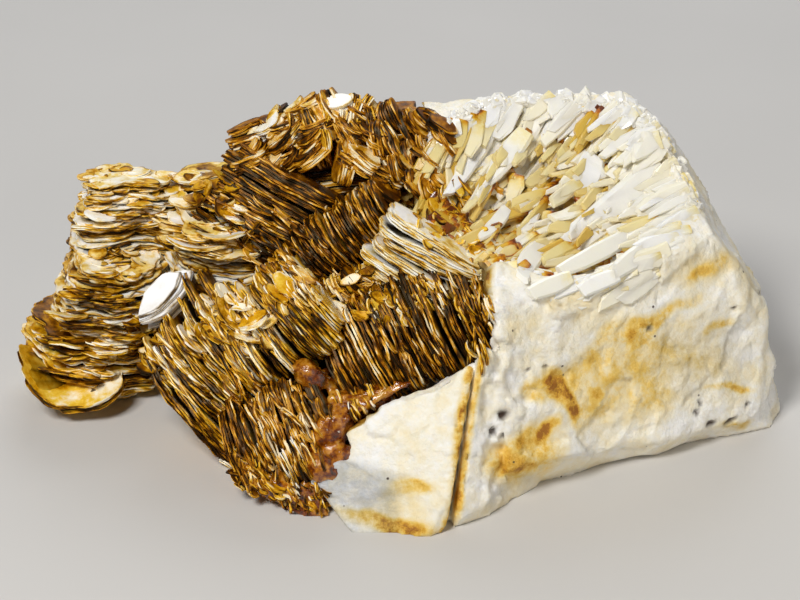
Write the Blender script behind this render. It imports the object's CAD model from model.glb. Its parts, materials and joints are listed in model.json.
"""Looks of a hand specimen: books of golden mica grown on white, platy feldspar.

Each book of mica is drawn again as packets of thin ragged sheets, in the place of its solid. The
feldspar is given its lumps, cleavage steps and iron stains, and its hollow a lining of pale laths.
Sizes and places are in millimetres in the specimen's own frame, and a mesh is scaled to metres as it
is placed. X runs to the right along the specimen, Y to its back, Z up.
"""

import json
import logging
import math
import random
from dataclasses import dataclass, field
from enum import Enum
from typing import Any

import bmesh
import bpy
from mathutils import Matrix, Vector, noise
from mathutils.bvhtree import BVHTree

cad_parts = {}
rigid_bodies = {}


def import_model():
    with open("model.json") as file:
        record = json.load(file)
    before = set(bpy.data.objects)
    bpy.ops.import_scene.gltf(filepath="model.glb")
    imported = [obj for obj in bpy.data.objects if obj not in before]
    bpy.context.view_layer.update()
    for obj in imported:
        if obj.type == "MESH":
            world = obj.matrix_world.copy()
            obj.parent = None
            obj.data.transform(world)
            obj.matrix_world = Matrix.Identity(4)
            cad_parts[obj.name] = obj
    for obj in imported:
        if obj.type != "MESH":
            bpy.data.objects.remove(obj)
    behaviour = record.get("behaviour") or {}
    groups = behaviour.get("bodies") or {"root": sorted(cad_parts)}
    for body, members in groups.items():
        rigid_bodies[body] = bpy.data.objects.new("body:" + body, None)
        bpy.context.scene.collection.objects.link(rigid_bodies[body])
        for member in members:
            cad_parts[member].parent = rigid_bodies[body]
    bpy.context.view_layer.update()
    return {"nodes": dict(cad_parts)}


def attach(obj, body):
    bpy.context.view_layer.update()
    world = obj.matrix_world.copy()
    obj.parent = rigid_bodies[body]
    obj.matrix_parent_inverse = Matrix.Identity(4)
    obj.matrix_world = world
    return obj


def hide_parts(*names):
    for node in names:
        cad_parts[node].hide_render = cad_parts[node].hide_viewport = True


log = logging.getLogger("mica_specimen")

MM = 0.001  # metres in one millimetre
CLEARANCE = 0.2  # height of the lowest mica over the flat underside of the feldspar
ORIGIN = Vector((0.07, 1.6, 0.0))  # middle of the specimen's footprint, before it is centred
TO_METRES = Matrix.Scale(MM, 4) @ Matrix.Translation(-ORIGIN)
TO_MM = Matrix.Translation(ORIGIN) @ Matrix.Scale(1 / MM, 4)
NOISE_SEED = 5  # start of the vector noise, which otherwise starts from the clock
FLAKE_SEED = 77  # start of the places and sizes of the loose flakes
LATH_SEED = 31  # start of the places and sizes of the laths
SKY_STRENGTH = 0.085  # light that comes from all round
EDGE_STEP = 0.85  # about how far apart the corners of a sheet's edge are, in mm

# The slope that the mica grows on: it faces the front and leans back by 60 degrees
SLOPE_FOOT = Vector((0.0, 0.0, 24.0))
SLOPE_ANGLE = math.radians(30.0)
ACROSS = Vector((1.0, 0.0, 0.0))
UPHILL = Vector((0.0, math.sin(SLOPE_ANGLE), math.cos(SLOPE_ANGLE)))
OUTWARD = Vector((0.0, -math.cos(SLOPE_ANGLE), math.sin(SLOPE_ANGLE)))
VIEW_DISTANCE = 450.0  # distance of the eye from the slope
EYE = SLOPE_FOOT + VIEW_DISTANCE * OUTWARD

# The hollow: an ellipsoid sunk in the feldspar's sloping top
HOLLOW_CENTRE = Vector((27.0, 7.0, 45.0))
HOLLOW_RADII = Vector((23.0, 18.5, 13.0))
HOLLOW_TILT = math.radians(27.0)
LATH_FOCUS = (-13.0, -14.0)  # place on the slope that the laths point down to
PLATE_FOCUS = (12.0, 6.0)  # place on the slope that the stone's cleavage plates spread from

Colour = tuple[float, float, float, float]
Place = tuple[float, float, float]
Range = tuple[float, float]
Stops = tuple[tuple[float, str], ...]  # positions on a colour ramp and their sRGB hex values
Input = str | int  # name or number of a node's input


class Look(Enum):
    """How a piece of mica is weathered."""

    GOLDEN = "golden"
    PALE = "pale"
    BROWN = "brown"
    WHITE = "white"


# ---------------------------------------------------------------------------------- places


def on_slope(across: float, uphill: float, outward: float) -> Vector:
    """A place given across the mica's slope, up it and out from it."""
    return SLOPE_FOOT + across * ACROSS + uphill * UPHILL + outward * OUTWARD


def from_front(point: Vector) -> tuple[float, float, float]:
    """Where a point is seen against the slope's plane by an eye in front of it.

    Args:
        point: A place in the specimen's frame.

    Returns:
        Across the slope, up the slope, and the point's own distance out from it.
    """
    away = point - SLOPE_FOOT
    outward = away.dot(OUTWARD)
    near = VIEW_DISTANCE / (VIEW_DISTANCE - outward)
    return away.dot(ACROSS) * near, away.dot(UPHILL) * near, outward


def leaning(lean: float, tilt: float) -> tuple[Vector, Vector]:
    """Directions of sheets whose edges rise to the right.

    Args:
        lean: Rise of the edges in degrees.
        tilt: How far the upper faces turn out from the slope, in degrees.

    Returns:
        The direction the sheets are stacked in, and the one they run in.
    """
    lean, tilt = math.radians(lean), math.radians(tilt)
    run = math.cos(lean) * ACROSS + math.sin(lean) * UPHILL
    edge_on = math.cos(lean) * UPHILL - math.sin(lean) * ACROSS
    return math.cos(tilt) * edge_on + math.sin(tilt) * OUTWARD, run


def placing(stack: Vector, run: Vector, centre: Vector) -> Matrix:
    """The matrix that brings a shape built along Z, longest along X, to its place.

    Args:
        stack: Where its Z goes.
        run: About where its X goes.
        centre: Where its middle goes, in mm.

    Returns:
        The matrix.
    """
    up = Vector(stack).normalized()
    along = (Vector(run) - Vector(run).dot(up) * up).normalized()
    turn = Matrix((along, up.cross(along), up)).transposed().to_4x4()
    return Matrix.Translation(centre) @ turn


def fade(value: float, start: float, end: float) -> float:
    """Goes smoothly from 0 at start to 1 at end."""
    share = min(1.0, max(0.0, (value - start) / (end - start)))
    return share * share * (3.0 - 2.0 * share)


def ripple(point: Vector, width: float, shift: float = 0.0) -> float:
    """Smooth noise from -1 to 1 whose bumps are about that many millimetres wide."""
    return noise.noise(point / width + Vector((shift, -shift, 0.37 * shift)))


def plate(place: Vector, size: float) -> float:
    """Height, from about -1 to 1, of the tilted cleavage plate at a place.

    Args:
        place: The place, in mm.
        size: Usual width of a plate in mm.

    Returns:
        The height, which jumps from one plate to the next.
    """
    _, seeds = noise.voronoi(place / size)
    seed = seeds[0]
    turn = noise.noise_vector(seed * 7.3)
    return 0.8 * noise.noise(seed * 5.1) + 0.9 * turn.dot(place / size - seed)


# ------------------------------------------------------------------------------- materials


def srgb(code: str) -> Colour:
    """The linear colour of an sRGB hex value.

    Args:
        code: The value, such as #C98A12.

    Returns:
        Its red, green, blue and alpha.
    """
    parts = (int(code[k : k + 2], 16) / 255.0 for k in (1, 3, 5))
    red, green, blue = (p / 12.92 if p <= 0.04045 else ((p + 0.055) / 1.055) ** 2.4 for p in parts)
    return red, green, blue, 1.0


def fill(tree: bpy.types.NodeTree, node: bpy.types.Node, inputs: dict[Input, Any]) -> None:
    """Sets a node's inputs, or links them to what another node gives out.

    Args:
        tree: The tree that the node is in.
        node: The node.
        inputs: A value or an output for each input.
    """
    for key, value in inputs.items():
        if isinstance(value, bpy.types.NodeSocket):
            tree.links.new(value, node.inputs[key])
        else:
            node.inputs[key].default_value = value


def add_node(
    tree: bpy.types.NodeTree,
    kind: str,
    inputs: dict[Input, Any] | None = None,
    stops: Stops = (),
    **settings: Any,
) -> bpy.types.Node:
    """Adds a node with its settings and links.

    Args:
        tree: The tree that gets the node.
        kind: The node's type.
        inputs: A value or another node's output for each named or numbered input.
        stops: For a colour ramp, its positions and sRGB hex values.
        settings: Properties of the node.

    Returns:
        The new node.
    """
    node = tree.nodes.new(kind)
    for name, value in settings.items():
        setattr(node, name, value)
    fill(tree, node, inputs or {})
    for number, (position, code) in enumerate(stops):
        elements = node.color_ramp.elements
        element = elements[number] if number < 2 else elements.new(position)
        element.position = position
        element.color = srgb(code)
    return node


def new_material(name: str) -> tuple[bpy.types.Material, bpy.types.NodeTree, bpy.types.Node]:
    """Makes a node material.

    Args:
        name: Its name.

    Returns:
        The material, its tree and its shader.
    """
    material = bpy.data.materials.new(name)
    material.use_nodes = True
    tree = material.node_tree
    return material, tree, tree.nodes["Principled BSDF"]


# What each corner of a sheet knows: its sheet's shade, 1 on the sheet's edge, how deep it lies
# between two sheets, and its height in the book
ATTRIBUTES = ("tone", "rim", "gap", "layer")


@dataclass(frozen=True)
class MicaFinish:
    """Mica: cleaved sheets with a pearly face, and ragged edges that catch the light.

    Attributes:
        name: Name of the material.
        faces: Colour stops of the broad faces, from tarnished to fresh.
        edges: Colour stops of the sheets' edges.
        gap: Colour of the rust and dirt between the sheets.
        patch: Size of the tarnish patches on a face, in mm.
        streak: Length of the light and dark stretches along an edge, in mm.
        lamina: Height of the finest layers that show on an edge, in mm.
        zone: Size of the darker and the more golden parts of the whole, in mm.
        face_tone: How much a sheet's own shade changes its face.
        edge_tone: How much it changes its edge.
    """

    name: str
    faces: Stops
    edges: Stops
    gap: str = "#0E0500"
    patch: float = 5.0
    streak: float = 2.8
    lamina: float = 0.5
    zone: float = 13.0
    face_tone: float = 0.26
    edge_tone: float = 0.16

    def material(self) -> bpy.types.Material:
        """The finish as a material that reads the sheets' tone, rim, gap and layer attributes.

        Returns:
            The material.
        """
        material, tree, shader = new_material(self.name)
        place = add_node(tree, "ShaderNodeTexCoord").outputs["Object"]
        tone, rim, gap, layer = (
            add_node(tree, "ShaderNodeAttribute", attribute_name=name).outputs["Fac"] for name in ATTRIBUTES
        )
        patch = add_node(
            tree,
            "ShaderNodeTexNoise",
            {"Vector": place, "Scale": 1 / (self.patch * MM), "Detail": 6.0, "Roughness": 0.62},
        ).outputs["Fac"]
        broad = add_node(
            tree,
            "ShaderNodeTexNoise",
            {"Vector": place, "Scale": 1 / (self.zone * MM), "Detail": 2.0, "Roughness": 0.5},
        ).outputs["Fac"]
        zone = add_node(
            tree,
            "ShaderNodeMapRange",
            {"Value": broad, "From Min": 0.35, "From Max": 0.65, "To Min": -0.06, "To Max": 0.06},
        ).outputs[0]
        mottled = add_node(tree, "ShaderNodeMath", {0: patch, 1: zone}, operation="ADD").outputs[0]
        worn = add_node(
            tree, "ShaderNodeMath", {0: tone, 1: self.face_tone, 2: mottled}, operation="MULTIPLY_ADD"
        ).outputs[0]
        face = add_node(tree, "ShaderNodeValToRGB", {"Fac": worn}, self.faces).outputs["Color"]
        sheet = add_node(
            tree, "ShaderNodeMath", {0: layer, 1: MM * self.streak / self.lamina}, operation="MULTIPLY"
        ).outputs[0]
        streak = add_node(
            tree,
            "ShaderNodeTexNoise",
            {"Vector": place, "W": sheet, "Scale": 1 / (self.streak * MM), "Detail": 4.0, "Roughness": 0.6},
            noise_dimensions="4D",
        ).outputs["Fac"]
        streaked = add_node(tree, "ShaderNodeMath", {0: streak, 1: zone}, operation="ADD").outputs[0]
        broken = add_node(
            tree, "ShaderNodeMath", {0: tone, 1: self.edge_tone, 2: streaked}, operation="MULTIPLY_ADD"
        ).outputs[0]
        edge = add_node(tree, "ShaderNodeValToRGB", {"Fac": broken}, self.edges).outputs["Color"]
        sheets = add_node(
            tree, "ShaderNodeMix", {0: rim, 6: face, 7: edge}, data_type="RGBA"
        ).outputs[2]
        colour = add_node(
            tree, "ShaderNodeMix", {0: gap, 6: sheets, 7: srgb(self.gap)}, data_type="RGBA"
        ).outputs[2]
        gloss = add_node(
            tree, "ShaderNodeMapRange", {"Value": patch, "To Min": 0.3, "To Max": 0.65}
        ).outputs[0]
        bump = add_node(
            tree, "ShaderNodeBump", {"Height": streak, "Strength": 0.35, "Distance": 0.35 * MM}
        ).outputs["Normal"]
        fill(tree, shader, {
            "Base Color": colour,
            "Roughness": gloss,
            "Normal": bump,
            "IOR": 1.58,
            "Specular IOR Level": 0.26,
            "Specular Tint": srgb("#FFDDA0"),  # golden mica gives back warm light
            "Coat Weight": 0.04,  # the pearly gloss of a cleaved sheet
            "Coat Roughness": 0.3,
        })
        return material


# What each corner of the feldspar knows: how strongly it is stained by iron, greyed and pitted
BLEMISHES = ("stain", "grey", "pit")


@dataclass(frozen=True)
class FeldsparFinish:
    """Feldspar: milky white where fresh, stained cream to gold by iron, with small dark pits.

    Attributes:
        name: Name of the material.
        fresh: Colour of clean stone.
        mauve: Tint of the greyish parts.
        pit: Colour of the pits and specks.
        haze: Size of the cream-coloured parts in mm.
        cloud: Size of the mottling of a stain in mm.
        grain: Size of the surface's grain in mm.
        chip: Width of the chipped faces in mm.
        speck: Spacing of the dark specks in mm.
    """

    name: str = "feldspar_broken_white"
    fresh: str = "#FDFBF5"
    mauve: str = "#C6CBD6"
    pit: str = "#3A2413"
    haze: float = 9.0
    cloud: float = 4.0
    grain: float = 0.7
    chip: float = 0.9
    speck: float = 4.0

    def material(self) -> bpy.types.Material:
        """The finish as a material that reads the stain, grey and pit attributes.

        Returns:
            The material.
        """
        material, tree, shader = new_material(self.name)
        place = add_node(tree, "ShaderNodeTexCoord").outputs["Object"]
        stain, grey, pit = (
            add_node(tree, "ShaderNodeAttribute", attribute_name=name).outputs["Fac"] for name in BLEMISHES
        )
        grain = add_node(
            tree,
            "ShaderNodeTexNoise",
            {"Vector": place, "Scale": 1 / (self.grain * MM), "Detail": 5.0, "Roughness": 0.65},
        ).outputs["Fac"]
        cloud = add_node(
            tree,
            "ShaderNodeTexNoise",
            {"Vector": place, "Scale": 1 / (self.cloud * MM), "Detail": 8.0, "Roughness": 0.72},
        ).outputs["Fac"]
        spread = add_node(
            tree,
            "ShaderNodeMapRange",
            {"Value": cloud, "From Min": 0.34, "From Max": 0.7, "To Min": 0.35, "To Max": 1.25},
        ).outputs[0]
        iron = add_node(
            tree, "ShaderNodeMath", {0: stain, 1: spread}, operation="MULTIPLY"
        ).outputs[0]
        haze = add_node(
            tree,
            "ShaderNodeTexNoise",
            {"Vector": place, "Scale": 1 / (self.haze * MM), "Detail": 8.0, "Roughness": 0.68},
        ).outputs["Fac"]
        tinge = add_node(
            tree, "ShaderNodeMapRange", {"Value": haze, "From Min": 0.40, "From Max": 0.68, "To Max": 0.38}
        ).outputs[0]
        tinged = add_node(tree, "ShaderNodeMath", {0: iron, 1: tinge}, operation="ADD").outputs[0]
        stained = add_node(
            tree,
            "ShaderNodeValToRGB",
            {"Fac": tinged},
            (
                (0.0, self.fresh),
                (0.2, "#FAF0D6"),
                (0.42, "#F5E0AA"),
                (0.62, "#F1CB66"),
                (0.82, "#DDA62C"),
                (1.0, "#A4660C"),
            ),
        ).outputs["Color"]
        veil = add_node(tree, "ShaderNodeMath", {0: grey, 1: spread}, operation="MULTIPLY", use_clamp=True)
        cool = add_node(
            tree,
            "ShaderNodeMix",
            {0: veil.outputs[0], 6: stained, 7: srgb(self.mauve)},
            data_type="RGBA",
            blend_type="MULTIPLY",
        ).outputs[2]
        cells = add_node(
            tree, "ShaderNodeTexVoronoi", {"Vector": place, "Scale": 1 / (self.speck * MM), "Randomness": 1.0}
        )
        beside = cells.outputs["Distance"]
        near = add_node(
            tree,
            "ShaderNodeMapRange",
            {"Value": beside, "From Min": 0.035, "From Max": 0.075, "To Min": 1.0, "To Max": 0.0},
        ).outputs[0]
        chosen = add_node(tree, "ShaderNodeSeparateColor", {"Color": cells.outputs["Color"]}).outputs["Red"]
        some = add_node(tree, "ShaderNodeMath", {0: chosen, 1: 0.55}, operation="GREATER_THAN").outputs[0]
        specks = add_node(tree, "ShaderNodeMath", {0: near, 1: some}, operation="MULTIPLY").outputs[0]
        dark = add_node(tree, "ShaderNodeMath", {0: specks, 1: pit}, operation="MAXIMUM").outputs[0]
        colour = add_node(
            tree, "ShaderNodeMix", {0: dark, 6: cool, 7: srgb(self.pit)}, data_type="RGBA"
        ).outputs[2]
        gloss = add_node(
            tree, "ShaderNodeMapRange", {"Value": cloud, "To Min": 0.38, "To Max": 0.72}
        ).outputs[0]
        chips = add_node(
            tree, "ShaderNodeTexVoronoi", {"Vector": place, "Scale": 1 / (self.chip * MM), "Randomness": 1.0}
        ).outputs["Color"]
        chipped = add_node(
            tree, "ShaderNodeBump", {"Height": chips, "Strength": 0.5, "Distance": 0.4 * MM}
        ).outputs["Normal"]
        rough = add_node(
            tree,
            "ShaderNodeBump",
            {"Height": grain, "Strength": 0.65, "Distance": 0.4 * MM, "Normal": chipped},
        ).outputs["Normal"]
        bump = add_node(
            tree,
            "ShaderNodeBump",
            {"Height": cloud, "Strength": 0.35, "Distance": 0.9 * MM, "Normal": rough},
        ).outputs["Normal"]
        fill(tree, shader, {
            "Base Color": colour,
            "Roughness": gloss,
            "Normal": bump,
            "IOR": 1.53,
            "Subsurface Weight": 0.12,  # light enters the milky stone
            "Subsurface Radius": (1.0, 0.85, 0.65),
            "Subsurface Scale": 1.2 * MM,
        })
        return material


LATH_SHADES = ("tone", "stain")  # how yellow each corner of a lath is, and how rusty


@dataclass(frozen=True)
class LathFinish:
    """Platy feldspar laths: clear to milky, glossy on their faces, with rust where they are rooted.

    Attributes:
        name: Name of the material.
        fresh: Colour of a milky lath.
        tinted: Colour of the yellowest lath.
        rust: Colour of the strongest rust.
        cloud: Size of the mottling in mm.
    """

    name: str = "feldspar_laths_glassy"
    fresh: str = "#FAF8F0"
    tinted: str = "#D8B24A"
    rust: str = "#7A4200"
    cloud: float = 2.4

    def material(self) -> bpy.types.Material:
        """The finish as a material that reads the tone and stain attributes.

        Returns:
            The material.
        """
        material, tree, shader = new_material(self.name)
        place = add_node(tree, "ShaderNodeTexCoord").outputs["Object"]
        tone, stain = (
            add_node(tree, "ShaderNodeAttribute", attribute_name=name).outputs["Fac"] for name in LATH_SHADES
        )
        cloud = add_node(
            tree,
            "ShaderNodeTexNoise",
            {"Vector": place, "Scale": 1 / (self.cloud * MM), "Detail": 5.0, "Roughness": 0.65},
        ).outputs["Fac"]
        tint = add_node(
            tree,
            "ShaderNodeValToRGB",
            {"Fac": tone},
            ((0.0, self.fresh), (0.3, "#FAF3DC"), (0.62, "#EFDC9C"), (1.0, self.tinted)),
        ).outputs["Color"]
        spread = add_node(
            tree,
            "ShaderNodeMapRange",
            {"Value": cloud, "From Min": 0.3, "From Max": 0.7, "To Min": 0.4, "To Max": 1.5},
        ).outputs[0]
        iron = add_node(
            tree, "ShaderNodeMath", {0: stain, 1: spread}, operation="MULTIPLY", use_clamp=True
        ).outputs[0]
        rust = add_node(
            tree,
            "ShaderNodeValToRGB",
            {"Fac": iron},
            ((0.1, "#FFFFFF"), (0.35, "#FBEDB4"), (0.6, "#EBB92C"), (0.8, "#C98400"), (1.0, self.rust)),
        ).outputs["Color"]
        rusty = add_node(
            tree, "ShaderNodeMix", {0: 1.0, 6: tint, 7: rust}, data_type="RGBA", blend_type="MULTIPLY"
        ).outputs[2]
        gloss = add_node(
            tree, "ShaderNodeMapRange", {"Value": cloud, "To Min": 0.18, "To Max": 0.5}
        ).outputs[0]
        bump = add_node(
            tree, "ShaderNodeBump", {"Height": cloud, "Strength": 0.3, "Distance": 0.5 * MM}
        ).outputs["Normal"]
        fill(tree, shader, {
            "Base Color": rusty,
            "Roughness": gloss,
            "Normal": bump,
            "IOR": 1.53,
            "Subsurface Weight": 0.25,  # thin laths let more light through than the stone
            "Subsurface Radius": (1.0, 0.9, 0.55),
            "Subsurface Scale": 1.5 * MM,
            "Coat Weight": 0.3,  # the glassy shine of their faces
            "Coat Roughness": 0.12,
        })
        return material


@dataclass(frozen=True)
class QuartzFinish:
    """Massive quartz, glassy and coloured amber to brown by iron, with a few white flaws.

    Attributes:
        name: Name of the material.
        cloud: Size of the darker and lighter parts in mm.
        flaw: Size of the white flaws in mm.
    """

    name: str = "quartz_iron_stained"
    cloud: float = 2.8
    flaw: float = 1.1

    def material(self) -> bpy.types.Material:
        """The finish as a material.

        Returns:
            The material.
        """
        material, tree, shader = new_material(self.name)
        place = add_node(tree, "ShaderNodeTexCoord").outputs["Object"]
        cloud = add_node(
            tree,
            "ShaderNodeTexNoise",
            {"Vector": place, "Scale": 1 / (self.cloud * MM), "Detail": 6.0, "Roughness": 0.65},
        ).outputs["Fac"]
        amber = add_node(
            tree,
            "ShaderNodeValToRGB",
            {"Fac": cloud},
            ((0.37, "#2A0E02"), (0.46, "#7C3605"), (0.54, "#C4780E"), (0.63, "#E4A63C"), (0.78, "#F2DFB4")),
        ).outputs["Color"]
        flaw = add_node(
            tree,
            "ShaderNodeTexNoise",
            {"Vector": place, "Scale": 1 / (self.flaw * MM), "Detail": 3.0, "Roughness": 0.8},
        ).outputs["Fac"]
        flaws = add_node(
            tree, "ShaderNodeMapRange", {"Value": flaw, "From Min": 0.66, "From Max": 0.72}
        ).outputs[0]
        colour = add_node(
            tree, "ShaderNodeMix", {0: flaws, 6: amber, 7: srgb("#F0E4D2")}, data_type="RGBA"
        ).outputs[2]
        bump = add_node(
            tree, "ShaderNodeBump", {"Height": cloud, "Strength": 0.4, "Distance": 1.2 * MM}
        ).outputs["Normal"]
        fill(tree, shader, {
            "Base Color": colour,
            "Normal": bump,
            "Roughness": 0.12,
            "IOR": 1.54,
            "Transmission Weight": 0.2,  # cloudy, so only a little light goes through
            "Coat Weight": 0.5,  # the wet shine of a broken face
            "Coat Roughness": 0.08,
        })
        return material


@dataclass(frozen=True)
class FloorFinish:
    """A plain pale studio table, matt.

    Attributes:
        name: Name of the material.
        cloud: Size of its faint mottling in mm.
    """

    name: str = "table_matt_pale"
    cloud: float = 60.0

    def material(self) -> bpy.types.Material:
        """The finish as a material.

        Returns:
            The material.
        """
        material, tree, shader = new_material(self.name)
        place = add_node(tree, "ShaderNodeTexCoord").outputs["Object"]
        cloud = add_node(
            tree, "ShaderNodeTexNoise", {"Vector": place, "Scale": 1 / (self.cloud * MM), "Detail": 2.0}
        ).outputs["Fac"]
        colour = add_node(
            tree, "ShaderNodeValToRGB", {"Fac": cloud}, ((0.0, "#C9C6C1"), (1.0, "#D2CFCA"))
        ).outputs["Color"]
        fill(tree, shader, {"Base Color": colour, "Roughness": 0.8})
        return material


MICA_FINISHES = {
    Look.GOLDEN: MicaFinish(
        "mica_golden_weathered",
        ((0.42, "#3A1A02"), (0.51, "#8C5602"), (0.60, "#D89C0C"), (0.71, "#F2CA44"), (0.83, "#FFF6DA")),
        ((0.43, "#140700"), (0.51, "#5C3200"), (0.575, "#C48402"), (0.645, "#F6C634"), (0.73, "#FFF8E0")),
    ),
    Look.PALE: MicaFinish(
        "mica_pale_fresh",
        ((0.41, "#5E3000"), (0.50, "#BE8608"), (0.59, "#F0CE68"), (0.67, "#FBF0D0"), (0.79, "#FFFDF8")),
        ((0.42, "#1A0B00"), (0.50, "#855200"), (0.57, "#DCA420"), (0.64, "#FBE4A0"), (0.72, "#FFFDF4")),
    ),
    Look.BROWN: MicaFinish(
        "mica_brown_iron_stained",
        ((0.42, "#321602"), (0.53, "#683800"), (0.63, "#B07004"), (0.74, "#E2AC2C"), (0.87, "#FAE8B4")),
        ((0.46, "#0C0400"), (0.54, "#4A2500"), (0.61, "#A66400"), (0.69, "#ECB02C"), (0.78, "#FFF2CC")),
    ),
    Look.WHITE: MicaFinish(
        "mica_white_clean",
        ((0.3, "#EDE6D8"), (0.5, "#FAF8F4"), (0.62, "#FFFFFF"), (0.75, "#FFFFFF"), (0.9, "#FFFFFF")),
        ((0.44, "#5E4424"), (0.51, "#BFAA82"), (0.58, "#F2ECDE"), (0.68, "#FFFFFF"), (0.9, "#FFFFFF")),
        gap="#5A4632",
    ),
}


# ------------------------------------------------------------------------------------ mica


@dataclass(frozen=True)
class Ring:
    """One ring of a sheet's skin, counted from the middle of its upper face to that of its lower.

    Attributes:
        share: Part of the sheet's reach.
        inset: How far it stays inside that, in mm.
        upper: True on the upper face.
        rim: 1 on the sheet's edge.
    """

    share: float
    inset: float
    upper: bool
    rim: float = 0.0


UPPER_EDGE, LOWER_EDGE = Ring(1.0, 0.06, True, 1.0), Ring(1.0, 0.0, False, 1.0)
TOP, FOOT = Ring(0.0, 0.0, True), Ring(0.0, 0.0, False)
COVERED_RINGS = (TOP, Ring(1.0, 0.8, True), UPPER_EDGE, LOWER_EDGE, Ring(1.0, 0.8, False), FOOT)
BARE_RINGS = (
    tuple(Ring(0.14 * k, 0.0, True) for k in range(7)) + (Ring(1.0, 0.35, True),) + COVERED_RINGS[2:]
)
FLAKE_RINGS = (TOP, Ring(1.0, 0.45, True), UPPER_EDGE, LOWER_EDGE, FOOT)
HIDDEN_FLAKE_RINGS = (TOP, UPPER_EDGE, LOWER_EDGE, FOOT)
FLAKE_RUN = 5.0  # books with shorter sheets have plain ones

_BLANKS: dict[tuple[tuple[Ring, ...], int], bpy.types.Mesh] = {}


def blank(rings: tuple[Ring, ...], steps: int) -> bpy.types.Mesh:
    """A closed drum whose corners stand for ring and step: ring k is at the height -k.

    Args:
        rings: The rings, with the two poles as the first and the last.
        steps: Corners of each ring.

    Returns:
        The mesh, kept for the next sheet of the same kind.
    """
    key = (rings, steps)
    if key not in _BLANKS:
        bm = bmesh.new()
        profile = [bm.verts.new((float(ring.share > 0.0), 0.0, -float(k))) for k, ring in enumerate(rings)]
        edges = [bm.edges.new(pair) for pair in zip(profile, profile[1:])]
        bmesh.ops.spin(
            bm,
            geom=profile + edges,
            cent=(0.0, 0.0, 0.0),
            axis=(0.0, 0.0, 1.0),
            dvec=(0.0, 0.0, 0.0),
            angle=2 * math.pi,
            steps=steps,
            use_merge=True,
            use_duplicate=False,
        )
        bmesh.ops.remove_doubles(bm, verts=bm.verts, dist=0.0001)
        bmesh.ops.recalc_face_normals(bm, faces=bm.faces)
        for face in bm.faces:
            face.smooth = True
        for edge in bm.edges:
            edge.smooth = round(-edge.verts[0].co.z) != round(-edge.verts[1].co.z)
            edge.smooth |= not rings[round(-edge.verts[0].co.z)].rim
        mesh = bpy.data.meshes.new("sheet_blank")
        bm.to_mesh(mesh)
        bm.free()
        _BLANKS[key] = mesh
    return _BLANKS[key]


def new_sheets() -> bmesh.types.BMesh:
    """Starts a mesh with the attributes of mica.

    Returns:
        The mesh, with no corner yet.
    """
    bm = bmesh.new()
    for name in ATTRIBUTES:
        bm.verts.layers.float.new(name)
    return bm


def add_mesh(bm: bmesh.types.BMesh, part: bmesh.types.BMesh) -> None:
    """Adds a part to a mesh and frees it.

    Args:
        bm: The mesh.
        part: The part.
    """
    mesh = bpy.data.meshes.new("part")
    part.to_mesh(mesh)
    part.free()
    bm.from_mesh(mesh)
    bpy.data.meshes.remove(mesh)


def place_piece(name: str, bm: bmesh.types.BMesh, material: bpy.types.Material) -> bpy.types.Object:
    """Makes an object of a mesh in millimetres.

    Args:
        name: The piece's name.
        bm: Its mesh, which is used up.
        material: Its finish.

    Returns:
        The object, which stands at the origin with its place in its mesh.
    """
    bm.transform(TO_METRES)
    mesh = bpy.data.meshes.new(name)
    bm.to_mesh(mesh)
    bm.free()
    mesh.materials.append(material)
    made = bpy.data.objects.new(name, mesh)
    bpy.context.scene.collection.objects.link(made)
    return made


def cut_floor(bm: bmesh.types.BMesh) -> None:
    """Cuts off what is under the lowest level of the mica and closes the cut.

    Args:
        bm: The mesh, in mm.
    """
    if min(vert.co.z for vert in bm.verts) >= CLEARANCE:
        return
    made = bmesh.ops.bisect_plane(
        bm,
        geom=bm.verts[:] + bm.edges[:] + bm.faces[:],
        plane_co=(0.0, 0.0, CLEARANCE),
        plane_no=(0.0, 0.0, 1.0),
        clear_inner=True,
    )
    edges = [part for part in made["geom_cut"] if isinstance(part, bmesh.types.BMEdge)]
    bmesh.ops.holes_fill(bm, edges=edges, sides=0)


@dataclass
class Sheet:
    """A thin sheet of a book.

    Attributes:
        corners: Corners of its outline, as shares of the book's half sizes.
        foot: Height of its lower face over the book's middle, in mm.
        thick: Its thickness in mm.
        tone: Its own shade, from 0 to 1.
        tilt: Rise of the sheet along X and along Y, in mm for each mm.
        splay: How far its two ends are bent up, in mm.
        rim: Its outline in mm, one place for each step.
    """

    corners: list[Vector]
    foot: float
    thick: float
    tone: float
    tilt: tuple[float, float] = (0.0, 0.0)
    splay: tuple[float, float] = (0.0, 0.0)
    rim: list[Vector] = field(default_factory=list)


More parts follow.
